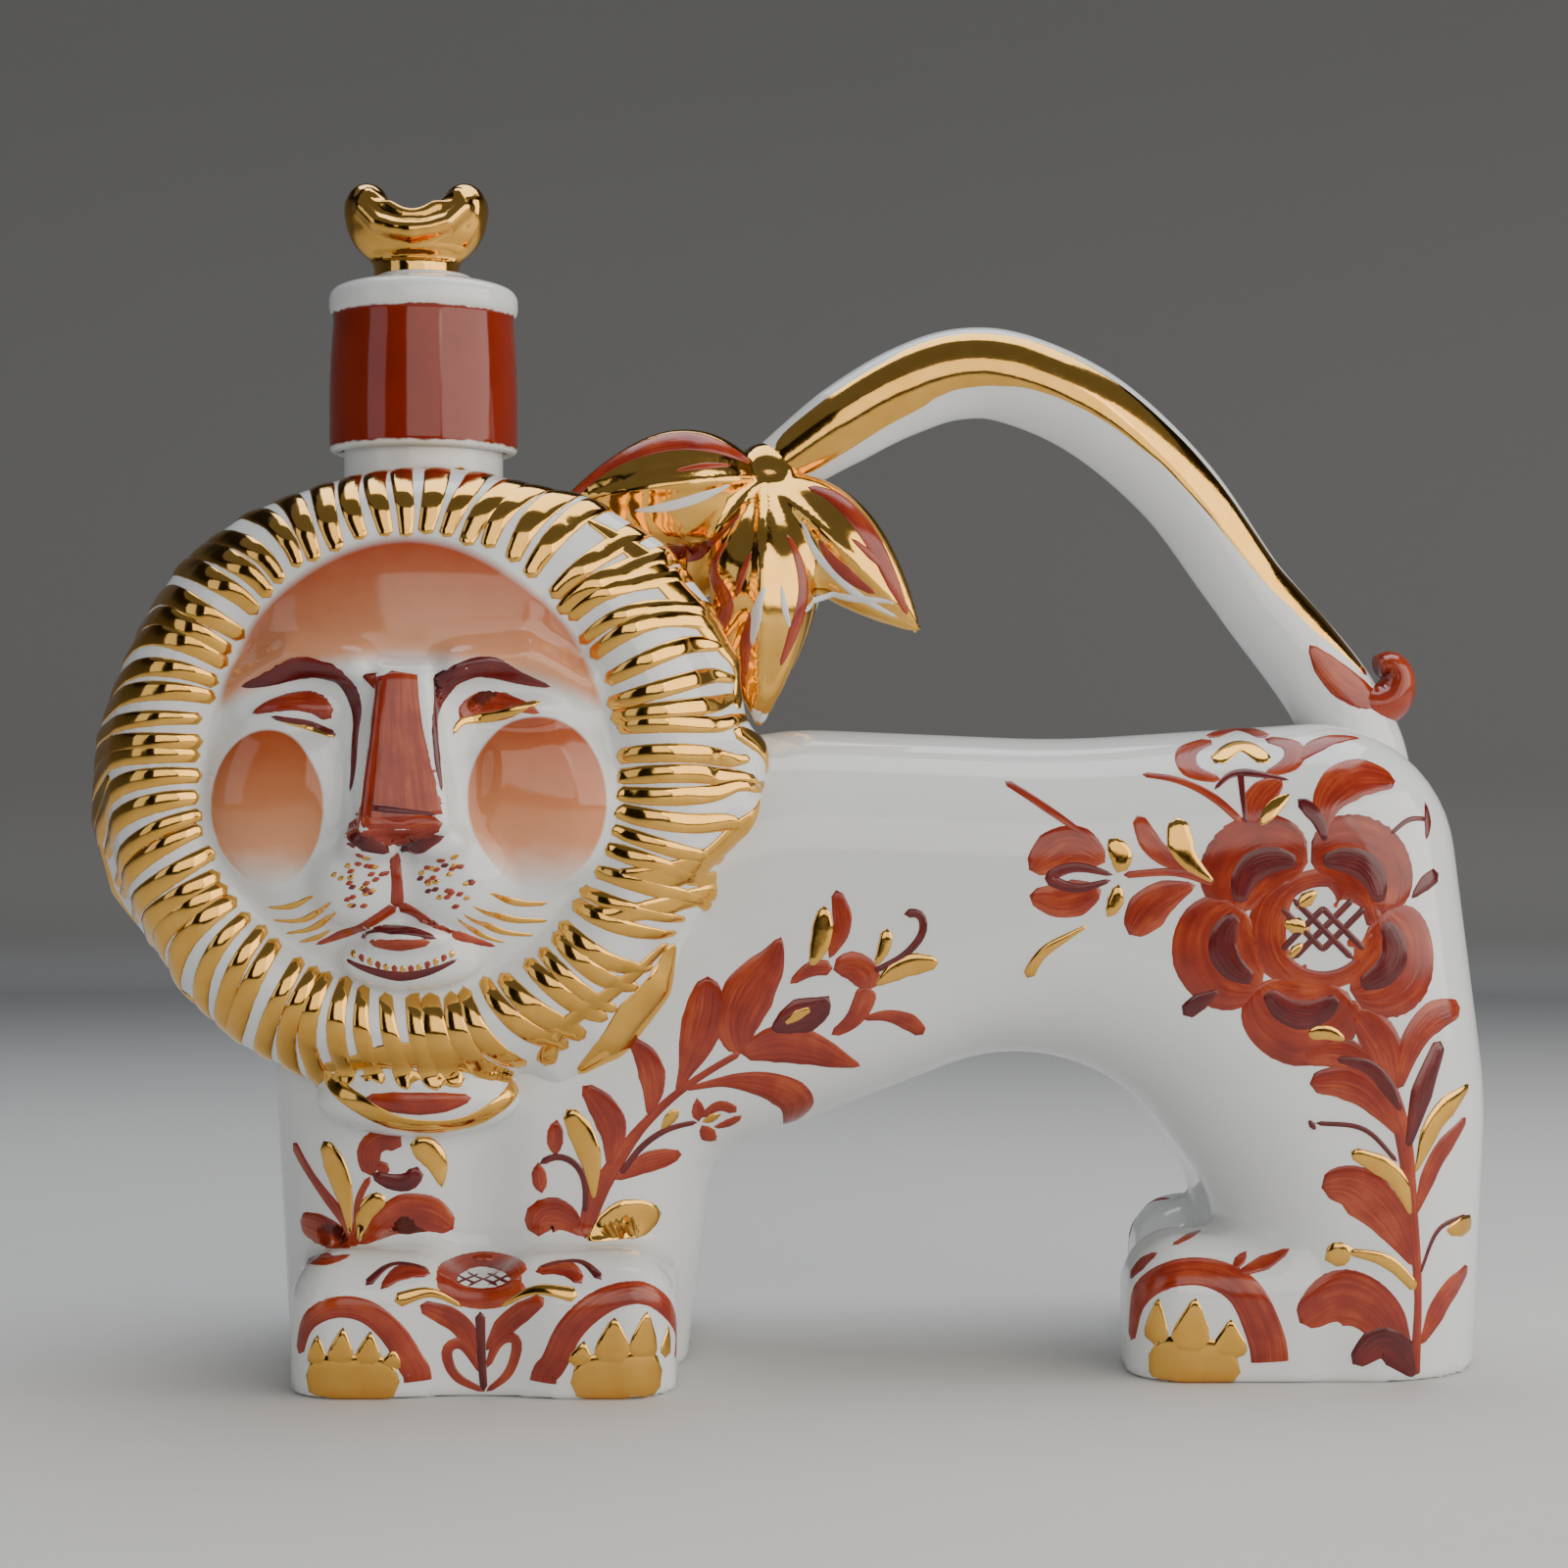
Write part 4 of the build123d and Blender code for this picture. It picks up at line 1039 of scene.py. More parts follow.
SCROLL_FLARE = [
    ([(1336, 658), (1350, 676), (1368, 694), (1390, 708), (1408, 716)], [1.0, 4.6, 6.4, 6.0, 3.0], 0.16),
]
flares = drawn(tail_skin, SCROLL_FLARE) + drawn(tail_skin, SCROLL_FLARE, mirrored=True)
strokes_object("tail_root_red", flares, red)


# The tuft: six fleshy leaves that spread from the end of the tail, each pressed in a small mould with a
# ribbed middle, and luted on. Their faces are gilded, with veins left white and rims painted red.

HUB, HUB_RADII = np.array((62.3, 0.0, 163.8)), (7.4, 7.8, 7.4)
RIB_WIDTH, RIB_HEIGHT = 0.16, 0.22  # shares of a leaf's half width and half thickness

# Each leaf: how far its root stands off the spine plane, direction in degrees, length, lean of its tip
# off the spine plane, half width, half thickness, and how far it bows outward
TUFT_LEAVES = [
    (-3.5, 188, 38.6, -9.0, 10.4, 6.2, 3.0), (-5.0, 269, 47.0, -8.0, 9.6, 6.4, 5.0),
    (-3.5, 315, 41.0, -6.0, 8.8, 5.8, 4.0), (4.5, 276, 38.0, 8.0, 9.0, 5.8, 4.0),
    (4.0, 205, 34.0, 8.0, 10.0, 5.8, 3.0), (0.0, 238, 27.0, 0.0, 7.0, 5.0, 0.0),
]


def leaf_form(p, root, direction, length, lean, half_width, half_thickness, bow):
    """One leaf as distances: a pointed egg with a rib along its outer face."""
    turn = radians(direction)
    heading = np.array((cos(turn), lean / length, sin(turn)))
    heading /= np.linalg.norm(heading)
    side = np.cross(heading, (0, 1, 0))
    side /= np.linalg.norm(side)
    out = np.cross(side, heading)
    away = p - (HUB + (0, root, 0))
    share = (away @ heading) / length
    inside = np.clip(share, 0.0, 1.0)
    outward = np.sign(lean) if lean else 1.0
    across = away @ side
    thick = away @ out * np.sign(out[1]) * outward - bow * 4 * inside * (1 - inside)
    # Broadest a little before the middle of its length, and drawn to a point at the tip
    swell = np.sin(pi * np.clip(inside, 0.02, 0.985) ** 0.8) ** 0.85 + 0.04
    wide = half_width * swell
    deep = half_thickness * swell
    u, v = across / wide, thick / deep
    rib = np.exp(-(u / RIB_WIDTH) ** 2) * RIB_HEIGHT * (v > 0)
    body = np.sqrt(u ** 2 + v ** 2) - 1 - rib
    gap = np.maximum(np.abs(share - 0.5) - 0.5, 0) * length
    return body * np.minimum(wide, deep) * 0.8 + gap


def tuft_form(p):
    """All the leaves and the knuckle that they spring from."""
    form = ball(p, HUB + (0.6, 0.0, 0.0), HUB_RADII)
    for leaf in TUFT_LEAVES:
        form = melt(form, leaf_form(p, *leaf), 1.6)
    return form


tuft, tuft_skin = cast("tuft_porcelain", tuft_form, low=(22, -22, 114), high=(100, 22, 181), step=0.9)
tuft.data.materials.append(gold)
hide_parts("tail_tuft")
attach(tuft, "body")

TUFT_LIFT = 0.16
TUFT_RIMS = [
    ([(582, 510), (602, 489), (628, 470), (655, 457), (687, 449), (716, 450), (742, 459), (766, 472)],
     [1.4, 2.2, 3.0, 4.2, 4.8, 4.6, 3.0, 1.2]),
    ([(688, 481), (716, 476), (746, 475)], [0.6, 1.4, 0.6]),
    ([(664, 568), (704, 566), (730, 551), (756, 524)], [1.6, 2.8, 2.4, 0.8]),
    ([(742, 552), (727, 582), (722, 617), (734, 646), (754, 680), (760, 702)], [0.8, 2.4, 3.0, 3.0, 2.6, 0.8]),
    ([(803, 545), (817, 578), (820, 610), (810, 645), (796, 680)], [0.8, 2.0, 2.6, 2.4, 0.8]),
    ([(767, 562), (757, 588), (751, 610)], [0.6, 1.6, 0.8]),
    ([(767, 622), (761, 655), (760, 692)], [0.6, 2.4, 0.9]),
    ([(824, 497), (850, 506), (875, 529), (895, 559), (911, 594), (926, 628)], [1.2, 3.6, 3.8, 3.4, 2.6, 0.9]),
    ([(835, 550), (856, 580), (893, 606)], [0.8, 2.8, 0.9]),
    ([(868, 549), (886, 564), (907, 586)], [0.5, 1.5, 0.5]),
]
TUFT_VEINS = [
    ([(647, 521), (670, 519), (704, 511), (746, 494)], [0.6, 1.8, 1.8, 0.6]),
    ([(780, 598), (772, 624), (767, 660)], [0.7, 2.6, 0.8]),
    ([(797, 596), (801, 623), (807, 642)], [0.4, 1.3, 0.5]),
    ([(768, 722), (775, 738), (784, 727)], [1.6, 3.0, 1.6]),
    ([(818, 531), (835, 568), (876, 608), (916, 630)], [0.6, 1.5, 1.4, 0.5]),
    ([(842, 629), (878, 639), (922, 643), (940, 634)], [0.6, 1.4, 1.4, 0.6]),
]
for name, table, enamel, slot in (
    ("tuft_red_rims", TUFT_RIMS, red, "red_porcelain"),
    ("tuft_white_veins", TUFT_VEINS, porcelain, "white_porcelain"),
):
    rows = [(pixels, widths, TUFT_LIFT) for pixels, widths in table]
    painted = drawn(tuft_skin, rows) + drawn(tuft_skin, rows, mirrored=True)
    strokes_object(name, painted, enamel)


# The hat: a cast cylinder with a rolled brim that drops over the neck. Its wall is red enamel; the brim,
# the domed top and the bottom rim are left white, and the enamel ends unevenly towards them.


def lathe(name, profile, around=96):
    """A form turned about the axis of the neck, from a closed profile of radius and height."""
    turn = np.linspace(0, 2 * pi, around, endpoint=False)
    points, faces, rings = [], [], []
    for radius, height in profile:
        if radius < 1e-6:
            rings.append([len(points)] * around)
            points.append((-NECK_LEAD, 0.0, height))
        else:
            rings.append(list(range(len(points), len(points) + around)))
            points += [(radius * cos(angle) - NECK_LEAD, radius * sin(angle), height) for angle in turn]
    for low, high in zip(rings[:-1], rings[1:]):
        for side in range(around):
            after = (side + 1) % around
            corners = [low[side], low[after], high[after], high[side]]
            face = [corner for index, corner in enumerate(corners) if corner not in corners[:index]]
            if len(face) > 2:
                faces.append(face)
    return mesh_object(name, points, faces)


HAT_KNOTS = [
    (0.0, 194.3), (10.0, 194.3), (15.6, 194.2), (16.1, 193.4), (16.1, 180.0), (16.1, 169.8), (16.5, 169.1),
    (17.2, 169.1), (17.65, 169.7), (17.75, 171.5), (17.75, 176.0), (17.7, 182.0), (17.45, 188.0),
    (17.1, 192.5), (17.05, 194.6), (17.5, 195.3), (17.8, 196.3), (17.8, 198.0), (17.3, 199.3), (16.0, 200.2),
    (12.5, 201.2), (9.6, 201.8), (8.8, 202.6), (5.0, 202.9), (0.0, 203.0),
]
HAT_RADIUS = 17.8
hat_profile = soft_path(HAT_KNOTS, 0.5)
hat_profile[:, 0] = np.clip(hat_profile[:, 0], 0.0, HAT_RADIUS)
hat = lathe("hat_porcelain", hat_profile)


def red_hat_glaze():
    """Deep iron-red enamel in a thick gloss coat, brown where it pools, over white porcelain at both rims."""
    made = porcelain.copy()
    made.name = "red_glazed_porcelain"
    tree = made.node_tree
    shader = next(item for item in tree.nodes if item.type == "BSDF_PRINCIPLED")
    white = shader.inputs["Base Color"].links[0].from_socket
    place = node(tree, "ShaderNodeTexCoord").outputs["Object"]
    height = node(tree, "ShaderNodeSeparateXYZ", {0: place}).outputs["Z"]
    # The red reaches from 170 mm to 195 mm, and its edges wander by about a millimetre every 2.4 mm
    ragged = node(tree, "ShaderNodeTexNoise", {"Vector": place, "Scale": 1000 / 2.38, "Detail": 4.0})
    wander = {0: ragged.outputs[0], 1: 0.0011, 2: height}
    edge = node(tree, "ShaderNodeMath", wander, operation="MULTIPLY_ADD").outputs[0]
    from_rim = node(tree, "ShaderNodeMapRange", {0: edge, 1: 0.1702, 2: 0.1706}).outputs[0]
    to_brim = node(tree, "ShaderNodeMapRange", {0: edge, 1: 0.1956, 2: 0.1953}).outputs[0]
    cover = node(tree, "ShaderNodeMath", {0: from_rim, 1: to_brim}, operation="MULTIPLY").outputs[0]
    # It pools in patches of about 14 mm
    pool = node(tree, "ShaderNodeTexNoise", {"Vector": place, "Scale": 1000 / 14.3, "Detail": 3.0}).outputs[0]
    tone = node(tree, "ShaderNodeMix", {0: pool, 6: srgb("701a0a"), 7: srgb("962c12")}, data_type="RGBA")
    colour = node(tree, "ShaderNodeMix", {0: cover, 6: white, 7: tone.outputs[2]}, data_type="RGBA").outputs[2]
    tree.links.new(colour, shader.inputs["Base Color"])
    return made


hat.data.materials.append(red_hat_glaze())
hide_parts("hat")
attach(hat, "stopper")


# The crescent: the knob of the stopper, a plump half moon whose horns roll inward, gilded all over. It is
# stuck to the top of the hat with slip before firing.

CRESCENT_OFFSET = 1.4  # how far the knob was set ahead of the middle of the hat
BOWL, BOWL_TOP = ((0.0, 0.0, 213.4), (13.3, 7.6, 10.2)), 216.0
HORN_OUT, HORN_HEIGHT, HORN_RADII = 9.2, 215.9, (4.2, 5.2, 4.4)
VALLEY = ((0.0, -12.0, 219.2), (0.0, 12.0, 219.2)), (4.7, 4.7)
# The roll of clay along the front of the crescent, from the tip of one horn down to the middle
CRESCENT_ROLL = [
    (-6.2, -3.6, 216.2), (-8.4, -4.4, 217.2), (-9.4, -5.0, 214.8), (-6.6, -6.4, 211.8), (-3.2, -7.2, 210.6),
    (0.0, -7.4, 210.2),
]
ROLL_RADII = (0.9, 1.4, 1.7, 1.7, 1.7, 1.7)
STEM_RADIUS, STEM_FOOT, STEM_TOP = 8.0, 201.5, 205.0


def crescent_form(p):
    """The half moon on its short stem: a plump bowl with a gap between two horns that roll inward."""
    p = p + (NECK_LEAD + CRESCENT_OFFSET, 0, 0)
    x, y, z = p.T
    form = np.maximum(ball(p, *BOWL), z - BOWL_TOP)
    for side in (-1, 1):
        form = melt(form, ball(p, (side * HORN_OUT, 0.0, HORN_HEIGHT), HORN_RADII), 1.8)
    form = dent(form, chain(p, *VALLEY), 1.4)
    for side in (-1, 1):
        roll = [(side * out, front, up) for out, front, up in CRESCENT_ROLL]
        form = melt(form, chain(p, roll, ROLL_RADII), 0.9)
    stem = np.maximum(np.hypot(x, y) - STEM_RADIUS, np.maximum(z - STEM_TOP, STEM_FOOT - z))
    return melt(form, stem, 1.6)


crescent = cast("crescent_porcelain", crescent_form, low=(-18, -10, 200), high=(11, 9, 221.5), step=0.5)[0]
crescent.data.materials.append(gold)
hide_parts("crescent")
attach(crescent, "stopper")


# The cork: a tapered plug glued up inside the hat, which seals the neck. It is natural cork, so it keeps
# its own shape from the frame and only gets its pores and grain here.


def natural_cork():
    """Punched cork: buff, with darker pores drawn out along the plug, and quite matt."""
    made, tree, shader = new_material("natural_cork")
    place = node(tree, "ShaderNodeTexCoord").outputs["Object"]
    # Grains 1.1 mm across and pores every 2 mm, both about twice as long up the plug
    stretch = (1.0, 1.0, 0.45)
    along = node(tree, "ShaderNodeVectorMath", {0: place, 1: stretch}, operation="MULTIPLY").outputs[0]
    cells = node(tree, "ShaderNodeTexVoronoi", {"Vector": along, "Scale": 1000 / 1.11}).outputs["Distance"]
    pores = node(tree, "ShaderNodeTexNoise", {"Vector": along, "Scale": 1000 / 2.08, "Detail": 4.0}).outputs[0]
    pit = node(tree, "ShaderNodeMapRange", {0: pores, 1: 0.56, 2: 0.64}).outputs[0]
    buff = node(tree, "ShaderNodeMix", {0: cells, 6: srgb("a97a4c"), 7: srgb("c49a68")}, data_type="RGBA")
    layers = {0: pit, 6: buff.outputs[2], 7: srgb("5c3b21")}
    tone = node(tree, "ShaderNodeMix", layers, data_type="RGBA").outputs[2]
    tree.links.new(tone, shader.inputs["Base Color"])
    bump = node(tree, "ShaderNodeBump", {"Strength": 0.5, "Distance": 0.0003, "Height": pit}, invert=True)
    tree.links.new(bump.outputs[0], shader.inputs["Normal"])
    shader.inputs["Roughness"].default_value = 0.82
    return made


for cork_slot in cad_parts["cork"].material_slots:
    cork_slot.link = "OBJECT"
    cork_slot.material = natural_cork()


# The flowers on the body: sprays of folk-style blooms and leaves in iron red, with gold petals, painted
# freehand over the glaze on both flanks. A petal is one loaded stroke of the brush, pressed and lifted.

# The peony on the haunch: its middle in pixels, how far out its petals stand, how much flatter than round
# it is, and the direction of each petal in degrees
PEONY, PEONY_REACH, PEONY_SQUASH = (1336, 951), 88, 0.94
PEONY_TURNS = (128, 52, -20, -96, -166)
# A petal's arc: shares of its half span and of the reach
PETAL_ARC = [(-1, 0.86), (-0.5, 0.98), (0, 1.04), (0.5, 0.98), (1, 0.86)]


def peony_petals(half_span, widths):
    """The peony's petals, each one arc of the brush round its middle."""
    made = []
    for turn in PEONY_TURNS:
        pixels = []
        for share, pull in PETAL_ARC:
            angle = radians(turn + half_span * share)
            across, up = PEONY_REACH * pull * cos(angle), PEONY_SQUASH * PEONY_REACH * pull * sin(angle)
            pixels.append((PEONY[0] + across, PEONY[1] - up))
        made.append((pixels, widths))
    return made


def lattice(middle, half_across, half_down, gap, width):
    """Three fine lines crossed by three more; the outer ones are shorter, to stay inside an oval."""
    made = []
    for slant in (-1, 1):
        for step in (-1, 0, 1):
            reach = 1.0 - 0.25 * abs(step)
            ends = [
                (middle[0] + step * gap + share * half_across, middle[1] + slant * share * half_down)
                for share in (-reach, 0.0, reach)
            ]
            made.append((ends, [width, width]))
    return made


def ring(middle, across, down, width, corners):
    """A closed oval line."""
    turn = np.linspace(0, 2 * pi, corners + 1)
    return [([(middle[0] + across * cos(a), middle[1] + down * sin(a)) for a in turn], [width, width])]


# Every stroke below: its pixels on the near flank, and its widths in millimetres from end to end
FLANK_RED = [
    ([(597, 1264), (606, 1225), (626, 1190), (655, 1150), (692, 1115), (725, 1092), (756, 1074)],
     [2.6, 3.6, 2.8, 1.9, 1.5, 1.3, 1.2]),
    ([(690, 1116), (708, 1072), (720, 1030), (722, 996)], [0.6, 2.6, 5.6, 7.2, 6.4, 3.0]),
    ([(662, 1140), (667, 1108), (660, 1080), (643, 1060)], [0.7, 3.2, 4.8, 4.0, 1.4]),
    ([(622, 1194), (626, 1154), (612, 1126), (594, 1108)], [0.8, 3.4, 5.4, 4.6, 1.8]),
    ([(698, 1112), (748, 1103), (792, 1110), (814, 1126), (806, 1146)], [0.7, 1.8, 4.6, 6.6, 5.6, 3.0]),
    ([(628, 1204), (660, 1186), (696, 1178)], [0.7, 2.8, 4.0, 3.6, 1.6]),
    ([(597, 1262), (574, 1240), (551, 1242), (550, 1262)], [0.7, 3.6, 6.0, 6.2, 3.4]),
    ([(756, 1076), (751, 1046), (766, 1010), (786, 982), (797, 956)], [3.6, 7.6, 8.8, 6.0, 0.8]),
    ([(757, 1076), (790, 1066), (826, 1070), (852, 1080), (878, 1088)], [2.6, 6.6, 6.6, 4.4, 0.8]),
    ([(806, 1004), (828, 988), (850, 988)], [1.0, 2.6, 2.8]),
    ([(850, 990), (868, 984), (884, 994), (884, 1012)], [2.6, 5.2, 5.4, 4.2]),
    ([(886, 1006), (880, 1026), (868, 1044), (848, 1056)], [3.8, 3.8, 2.8, 1.4]),
    ([(846, 978), (860, 944), (853, 908)], [0.8, 2.8, 3.4, 1.8]),
    ([(880, 1040), (906, 1036), (930, 1044), (942, 1056)], [0.8, 2.2, 3.4, 2.0]),
    ([(567, 1180), (566, 1160), (568, 1142)], [0.8, 2.8, 2.8, 1.0]),
    ([(549, 1186), (550, 1202), (553, 1218)], [0.8, 2.6, 2.6, 1.0]),
    ([(713, 1145), (711, 1120)], [1.6, 2.4, 0.8]),
    ([(715, 1141), (735, 1127), (752, 1135)], [1.2, 2.4, 1.8]),
    ([(728, 1150), (743, 1147), (757, 1138)], [0.8, 2.4, 1.6]),
    ([(716, 1148), (722, 1158), (731, 1164)], [1.2, 3.0, 0.8]),
]
FLANK_MAROON = [
    ([(786, 1052), (812, 1040), (838, 1028), (846, 1016)], [0.8, 4.6, 6.4, 4.6, 1.0]),
    ([(890, 992), (924, 974), (943, 950), (939, 931), (922, 933)], [1.0, 1.1, 1.3, 1.4, 1.6]),
    ([(597, 1240), (597, 1206), (586, 1186), (567, 1179), (550, 1188)], [1.0, 1.1, 1.1, 1.2]),
    ([(632, 1200), (655, 1170), (682, 1152), (712, 1145)], [1.1, 1.2, 1.0]),
]
FLANK_GOLD = [
    ([(606, 1226), (603, 1184), (591, 1152), (578, 1132)], [0.5, 2.4, 4.0, 4.2, 2.2]),
    ([(599, 1266), (630, 1248), (675, 1238)], [0.7, 5.0, 7.2, 6.0, 2.4]),
    ([(798, 1047), (815, 1035), (830, 1028)], [0.5, 2.4, 1.0]),
    ([(827, 988), (838, 960), (841, 924)], [0.7, 3.2, 3.6, 1.6]),
    ([(893, 986), (903, 966), (905, 947)], [0.8, 2.2, 2.0]),
    ([(893, 1006), (922, 986), (958, 982)], [0.7, 3.4, 3.8, 1.8]),
    ([(674, 1154), (683, 1142), (693, 1131)], [0.5, 2.2, 1.8]),
    ([(716, 1145), (736, 1137)], [0.8, 2.0, 0.8]),
]
PEONY_EYE = (1350, 948)
PEONY_RING = ring(PEONY_EYE, 54, 53, 3.2, corners=14)
PEONY_LATTICE = lattice(PEONY_EYE, 31, 31, gap=21, width=1.1)
PEONY_PETALS = peony_petals(37, [11.0, 15.5, 17.0, 15.5, 11.0])
PEONY_FOLDS = peony_petals(30, [2.0, 4.8, 5.8, 4.8, 2.0])
HAUNCH_RED = PEONY_PETALS + PEONY_RING + [
    ([(1322, 900), (1300, 920), (1292, 950), (1300, 980), (1320, 1000)], [3.0, 6.0, 6.6, 6.0, 3.0]),
    ([(1350, 858), (1354, 818), (1384, 792), (1424, 797)], [0.8, 4.4, 7.6, 7.6, 3.4]),
    ([(1246, 796), (1214, 786), (1211, 766), (1236, 755)], [1.4, 3.6, 3.8, 3.0]),
    ([(1234, 753), (1262, 744), (1292, 753)], [2.6, 3.8, 2.6]),
    ([(1290, 754), (1318, 760), (1319, 778), (1290, 791)], [2.6, 3.8, 3.6, 1.2]),
    ([(1325, 777), (1350, 757), (1388, 753)], [0.7, 3.6, 3.2, 0.7]),
    ([(1276, 842), (1285, 814), (1308, 794)], [1.8, 5.4, 5.0, 2.0]),
    ([(1268, 840), (1236, 812), (1202, 796), (1165, 790)], [1.3, 1.6, 1.5, 1.2]),
    ([(1242, 902), (1200, 890), (1146, 893)], [1.6, 1.4, 1.2]),
    ([(1218, 890), (1178, 866), (1160, 832)], [0.7, 3.2, 3.8, 2.2]),
    ([(1220, 903), (1182, 918), (1152, 954)], [0.9, 5.2, 7.2, 3.6]),
    ([(1128, 880), (1092, 862), (1050, 888)], [2.6, 7.0, 7.4, 3.4]),
    ([(1124, 908), (1084, 919), (1050, 914)], [2.4, 6.4, 5.6, 2.4]),
    ([(1112, 856), (1070, 826), (1025, 797)], [0.9, 1.5, 1.4]),
    ([(1378, 1020), (1402, 1076), (1430, 1150), (1441, 1240), (1447, 1320), (1443, 1406)],
     [2.4, 3.2, 3.0, 2.2, 1.5, 2.2]),
    ([(1426, 1132), (1400, 1096), (1366, 1074), (1328, 1080)], [1.8, 5.0, 6.0, 2.8]),
    ([(1431, 1160), (1404, 1122), (1372, 1104), (1336, 1106)], [1.2, 5.0, 6.2, 3.4]),
    ([(1424, 1112), (1410, 1064), (1382, 1030)], [2.6, 6.4, 6.6, 3.0]),
    ([(1425, 1112), (1440, 1066), (1462, 1038), (1490, 1028)], [1.8, 4.4, 5.8, 3.0]),
    ([(1443, 1242), (1466, 1182), (1496, 1140)], [0.6, 3.2, 3.6, 1.4]),
    ([(1443, 1292), (1416, 1242), (1378, 1210), (1348, 1212)], [0.9, 6.0, 8.6, 4.6]),
    ([(1450, 1372), (1474, 1324), (1498, 1292)], [0.9, 4.2, 4.2, 1.8]),
    ([(1441, 1402), (1404, 1338), (1362, 1324), (1326, 1350)], [1.6, 7.4, 9.6, 4.4]),
]
HAUNCH_MAROON = PEONY_FOLDS + PEONY_LATTICE + [
    ([(1352, 862), (1346, 836), (1324, 815)], [0.7, 2.2, 2.8, 1.8]),
    ([(1418, 852), (1437, 836), (1456, 836)], [0.7, 0.9, 0.9]),
    ([(1454, 818), (1457, 838), (1455, 857)], [0.6, 1.9, 0.6]),
    ([(1440, 917), (1454, 901), (1468, 891)], [0.7, 2.8, 2.6]),
    ([(1246, 1010), (1224, 1022), (1207, 1036)], [0.7, 3.0, 2.8]),
    ([(1272, 842), (1268, 812), (1265, 784)], [0.9, 1.0, 1.2]),
    ([(1239, 806), (1262, 788), (1316, 796)], [0.6, 1.8, 0.6]),
    ([(1136, 893), (1096, 884), (1070, 896), (1098, 907), (1134, 898)], [0.7, 1.7, 2.2, 1.7, 0.7]),
    ([(1436, 1172), (1452, 1112), (1470, 1062)], [1.2, 4.2, 2.8]),
    ([(1431, 1136), (1402, 1092), (1362, 1080)], [0.6, 3.0, 2.6, 1.0]),
    ([(1426, 1186), (1392, 1152), (1342, 1146)], [0.8, 0.9, 0.8]),
    ([(1342, 1146), (1336, 1150)], [2.0, 2.4]),
    ([(1448, 1302), (1468, 1254), (1496, 1240)], [0.6, 0.9, 0.9]),
    ([(1444, 1406), (1414, 1368), (1380, 1392)], [0.9, 6.0, 5.4, 2.6]),
]
HAUNCH_GOLD = [
    ([(1239, 779), (1266, 760), (1294, 779)], [2.8, 3.6, 2.8]),
    ([(1286, 844), (1298, 825), (1316, 810)], [0.5, 2.6, 2.4, 0.8]),
    ([(1240, 902), (1208, 872), (1201, 834)], [0.5, 2.8, 4.6, 3.2]),
    ([(1131, 856), (1146, 874), (1140, 891)], [2.2, 4.0, 2.0]),
    ([(1141, 902), (1139, 920), (1130, 936)], [1.4, 2.8, 1.4]),
    ([(1048, 998), (1064, 972), (1110, 944)], [2.0, 1.7, 0.5]),
    ([(1374, 1062), (1352, 1052), (1332, 1057)], [0.5, 2.4, 2.8, 1.6]),
    ([(1440, 1242), (1424, 1200), (1378, 1175)], [0.5, 3.0, 3.6, 1.8]),
    ([(1444, 1197), (1466, 1142), (1499, 1106)], [0.5, 3.4, 4.0, 0.8]),
    ([(1446, 1316), (1416, 1287), (1376, 1277)], [1.8, 2.4, 1.2]),
    ([(1352, 1286), (1380, 1273)], [3.0, 4.2, 2.4]),
    ([(1476, 1256), (1502, 1246)], [1.6, 3.6, 2.6]),
    ([(1326, 936), (1320, 954)], [5.0, 5.0]),
    ([(1328, 912), (1338, 924)], [5.2, 5.2]),
    ([(1318, 966), (1326, 974)], [4.2, 4.4]),
]
CHEST_RED = [
    ([(362, 1272), (345, 1236), (316, 1197), (299, 1166)], [2.2, 2.2, 1.8, 2.4]),
    ([(362, 1264), (365, 1226), (378, 1200)], [1.1, 1.3, 1.2]),
    ([(379, 1200), (376, 1172), (394, 1161), (410, 1170)], [3.2, 4.4, 4.0, 3.0]),
    ([(386, 1196), (396, 1187)], [2.4, 2.6]),
    ([(366, 1270), (400, 1243), (436, 1238), (463, 1254)], [0.8, 4.6, 7.0, 6.2, 2.8]),
    ([(356, 1274), (332, 1256), (306, 1246)], [0.9, 4.4, 5.4, 3.6]),
    ([(358, 1280), (334, 1286), (312, 1290)], [0.9, 3.6, 3.6, 2.0]),
]
CHEST_MAROON = [([(379, 1197), (396, 1206), (420, 1206), (426, 1190)], [1.4, 2.6, 3.2, 2.6])]
CHEST_GOLD = [
    ([(357, 1262), (351, 1218), (340, 1186), (330, 1164)], [0.5, 2.0, 3.8, 4.4, 2.4]),
    ([(451, 1212), (446, 1186), (432, 1170), (418, 1168)], [0.5, 2.6, 4.2, 4.4, 2.8]),
    ([(364, 1266), (373, 1236), (393, 1220)], [0.5, 2.6, 3.6, 2.6]),
]

# The small flower on the step between the fore paws, which only the near side has
STEP_FLOWER = (493, 1305)
STEP_RED = ring(STEP_FLOWER, 39, 20, 3.8, corners=12) + [
    ([(440, 1300), (412, 1296), (388, 1316)], [1.6, 3.6, 0.8]),
    ([(546, 1298), (576, 1292), (594, 1310)], [1.6, 3.8, 1.6]),
    ([(490, 1384), (468, 1350), (428, 1332)], [0.9, 3.6, 3.6, 2.0]),
    ([(496, 1378), (520, 1348), (556, 1324)], [0.9, 3.6, 3.6, 2.0]),
    ([(495, 1420), (464, 1404), (455, 1376), (472, 1370), (492, 1402)], [0.8, 1.6, 1.9, 1.9, 0.9]),
    ([(496, 1420), (520, 1400), (528, 1366), (510, 1366), (497, 1396)], [0.8, 1.6, 1.9, 1.9, 0.9]),
]
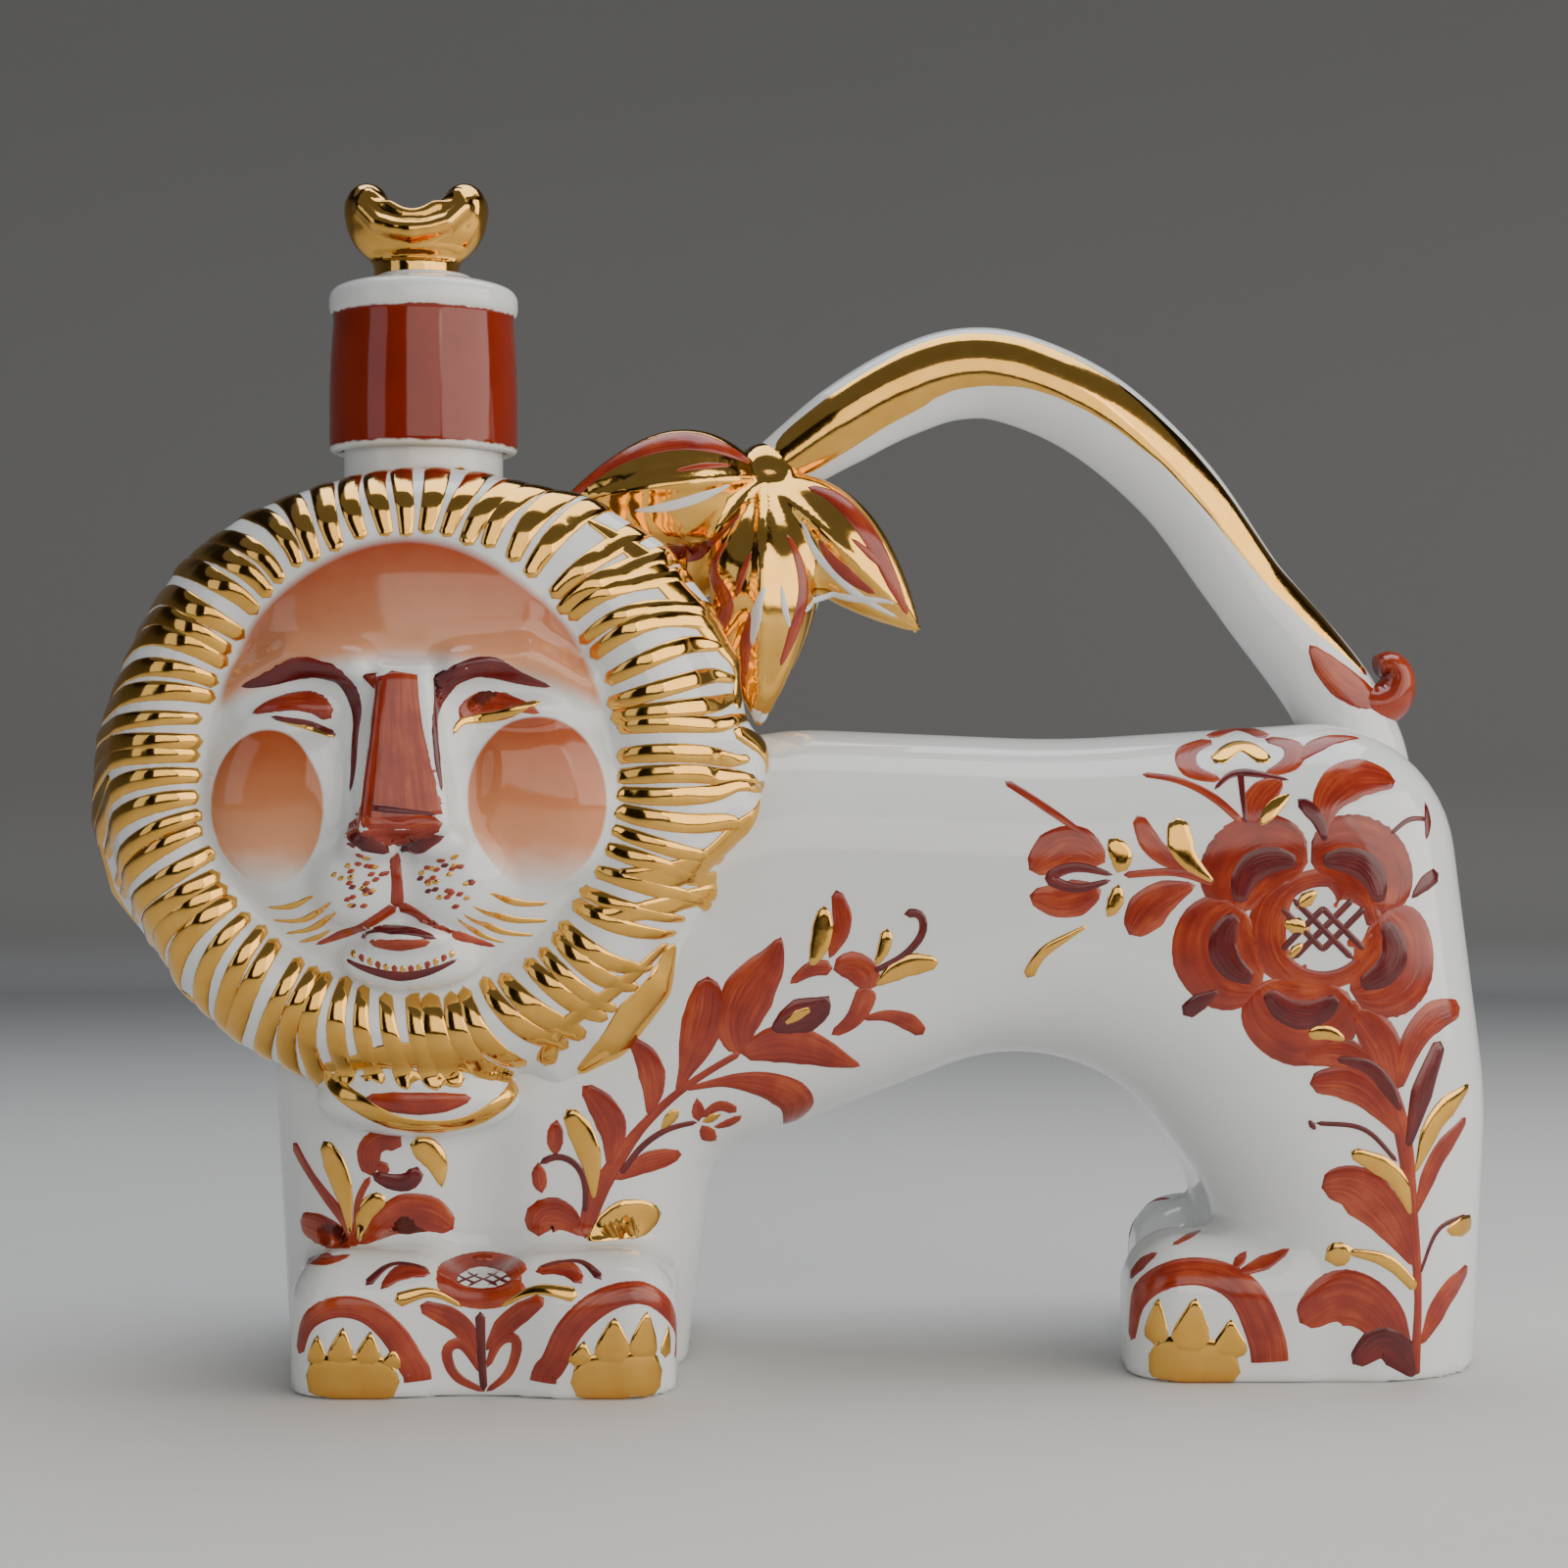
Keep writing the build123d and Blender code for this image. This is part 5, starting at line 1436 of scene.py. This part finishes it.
STEP_MAROON = lattice(STEP_FLOWER, 16.74, 8.06, gap=17, width=0.6) + [
    ([(438, 1296), (402, 1289), (373, 1312)], [0.8, 0.9, 1.6]),
    ([(548, 1294), (590, 1286), (614, 1306)], [0.8, 0.9, 1.6]),
    ([(490, 1338), (491, 1380), (494, 1420)], [1.7, 1.5, 1.2]),
]
STEP_GOLD = [
    ([(472, 1334), (440, 1318), (402, 1328)], [0.6, 1.6, 2.6]),
    ([(510, 1334), (546, 1316), (590, 1322)], [0.6, 1.6, 2.6]),
]

# The paws: a red arch over each, and the toes gilded with the claws' points running up into the white
FORE_ARCHES = [
    ([(305, 1382), (313, 1350), (340, 1334), (374, 1338), (402, 1362), (421, 1394), (427, 1428)],
     [2.4, 3.4, 4.0, 4.6, 4.8, 4.6, 4.2]),
    ([(559, 1428), (563, 1394), (582, 1356), (614, 1328), (652, 1318), (680, 1334), (690, 1364), (688, 1386)],
     [4.2, 4.4, 4.4, 4.6, 4.6, 4.0, 3.0, 1.6]),
]
FORE_CLAWS = [
    ([(312, 1404), (350, 1409), (408, 1410)], [7.0, 8.4, 8.0]),
    ([(322, 1396), (324, 1362)], [4.6, 3.0, 0.4]),
    ([(346, 1396), (350, 1354)], [5.6, 3.6, 0.4]),
    ([(374, 1398), (378, 1358)], [5.6, 3.6, 0.4]),
    ([(398, 1400), (402, 1376)], [4.6, 3.0, 0.4]),
    ([(582, 1411), (630, 1408), (676, 1398)], [8.0, 8.8, 8.0]),
    ([(590, 1398), (596, 1368)], [5.2, 3.6, 0.4]),
    ([(624, 1396), (627, 1344)], [7.0, 5.0, 0.8]),
    ([(656, 1390), (660, 1338)], [6.4, 4.4, 0.6]),
    ([(679, 1386), (682, 1352)], [3.6, 2.4, 0.4]),
]
HIND_ARCHES = [
    ([(1154, 1368), (1160, 1326), (1188, 1302), (1230, 1297), (1267, 1315), (1288, 1354), (1293, 1418)],
     [2.6, 4.4, 5.0, 5.6, 6.2, 6.4, 6.2]),
    ([(1264, 1300), (1286, 1290), (1316, 1274)], [1.2, 3.0, 0.8]),
    ([(1258, 1297), (1272, 1276)], [0.9, 2.0, 0.7]),
    ([(1152, 1304), (1166, 1288), (1182, 1278)], [2.0, 3.4, 1.0]),
    ([(1196, 1271), (1211, 1263), (1225, 1255)], [1.0, 1.8, 0.6]),
]
HIND_CLAWS = [
    ([(1172, 1382), (1212, 1396), (1266, 1400)], [8.4, 10.0, 9.6]),
    ([(1178, 1372), (1182, 1324)], [6.0, 3.6, 0.4]),
    ([(1212, 1384), (1220, 1324)], [8.0, 5.4, 0.8]),
    ([(1254, 1388), (1256, 1346)], [8.0, 4.6, 0.5]),
]

# Gold lies over maroon and maroon over red; a hair's difference keeps crossing strokes of one colour apart
RED_LIFT, MAROON_LIFT, GOLD_LIFT, HAIR = 0.12, 0.19, 0.22, 0.004


def lifted(table, lift):
    """The strokes of a table, each with how proud it stands."""
    return [(pixels, widths, lift + HAIR * (index % 5)) for index, (pixels, widths) in enumerate(table)]


both_red = FLANK_RED + HAUNCH_RED + CHEST_RED + HIND_ARCHES
both_maroon = FLANK_MAROON + HAUNCH_MAROON + CHEST_MAROON
both_gold = FLANK_GOLD + HAUNCH_GOLD + CHEST_GOLD + HIND_CLAWS
for name, near, both, lift, enamel, slot in (
    ("flowers_iron_red", STEP_RED + FORE_ARCHES, both_red, RED_LIFT, red, "red_porcelain"),
    ("flowers_maroon", STEP_MAROON, both_maroon, MAROON_LIFT, maroon, "red_porcelain"),
    ("flowers_gold", STEP_GOLD + FORE_CLAWS, both_gold, GOLD_LIFT, gold, "gilt_porcelain"),
):
    near, both = lifted(near, lift), lifted(both, lift)
    painted = drawn(torso_skin, near + both) + drawn(torso_skin, both, mirrored=True)
    strokes_object(name, painted, enamel)


low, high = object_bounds()
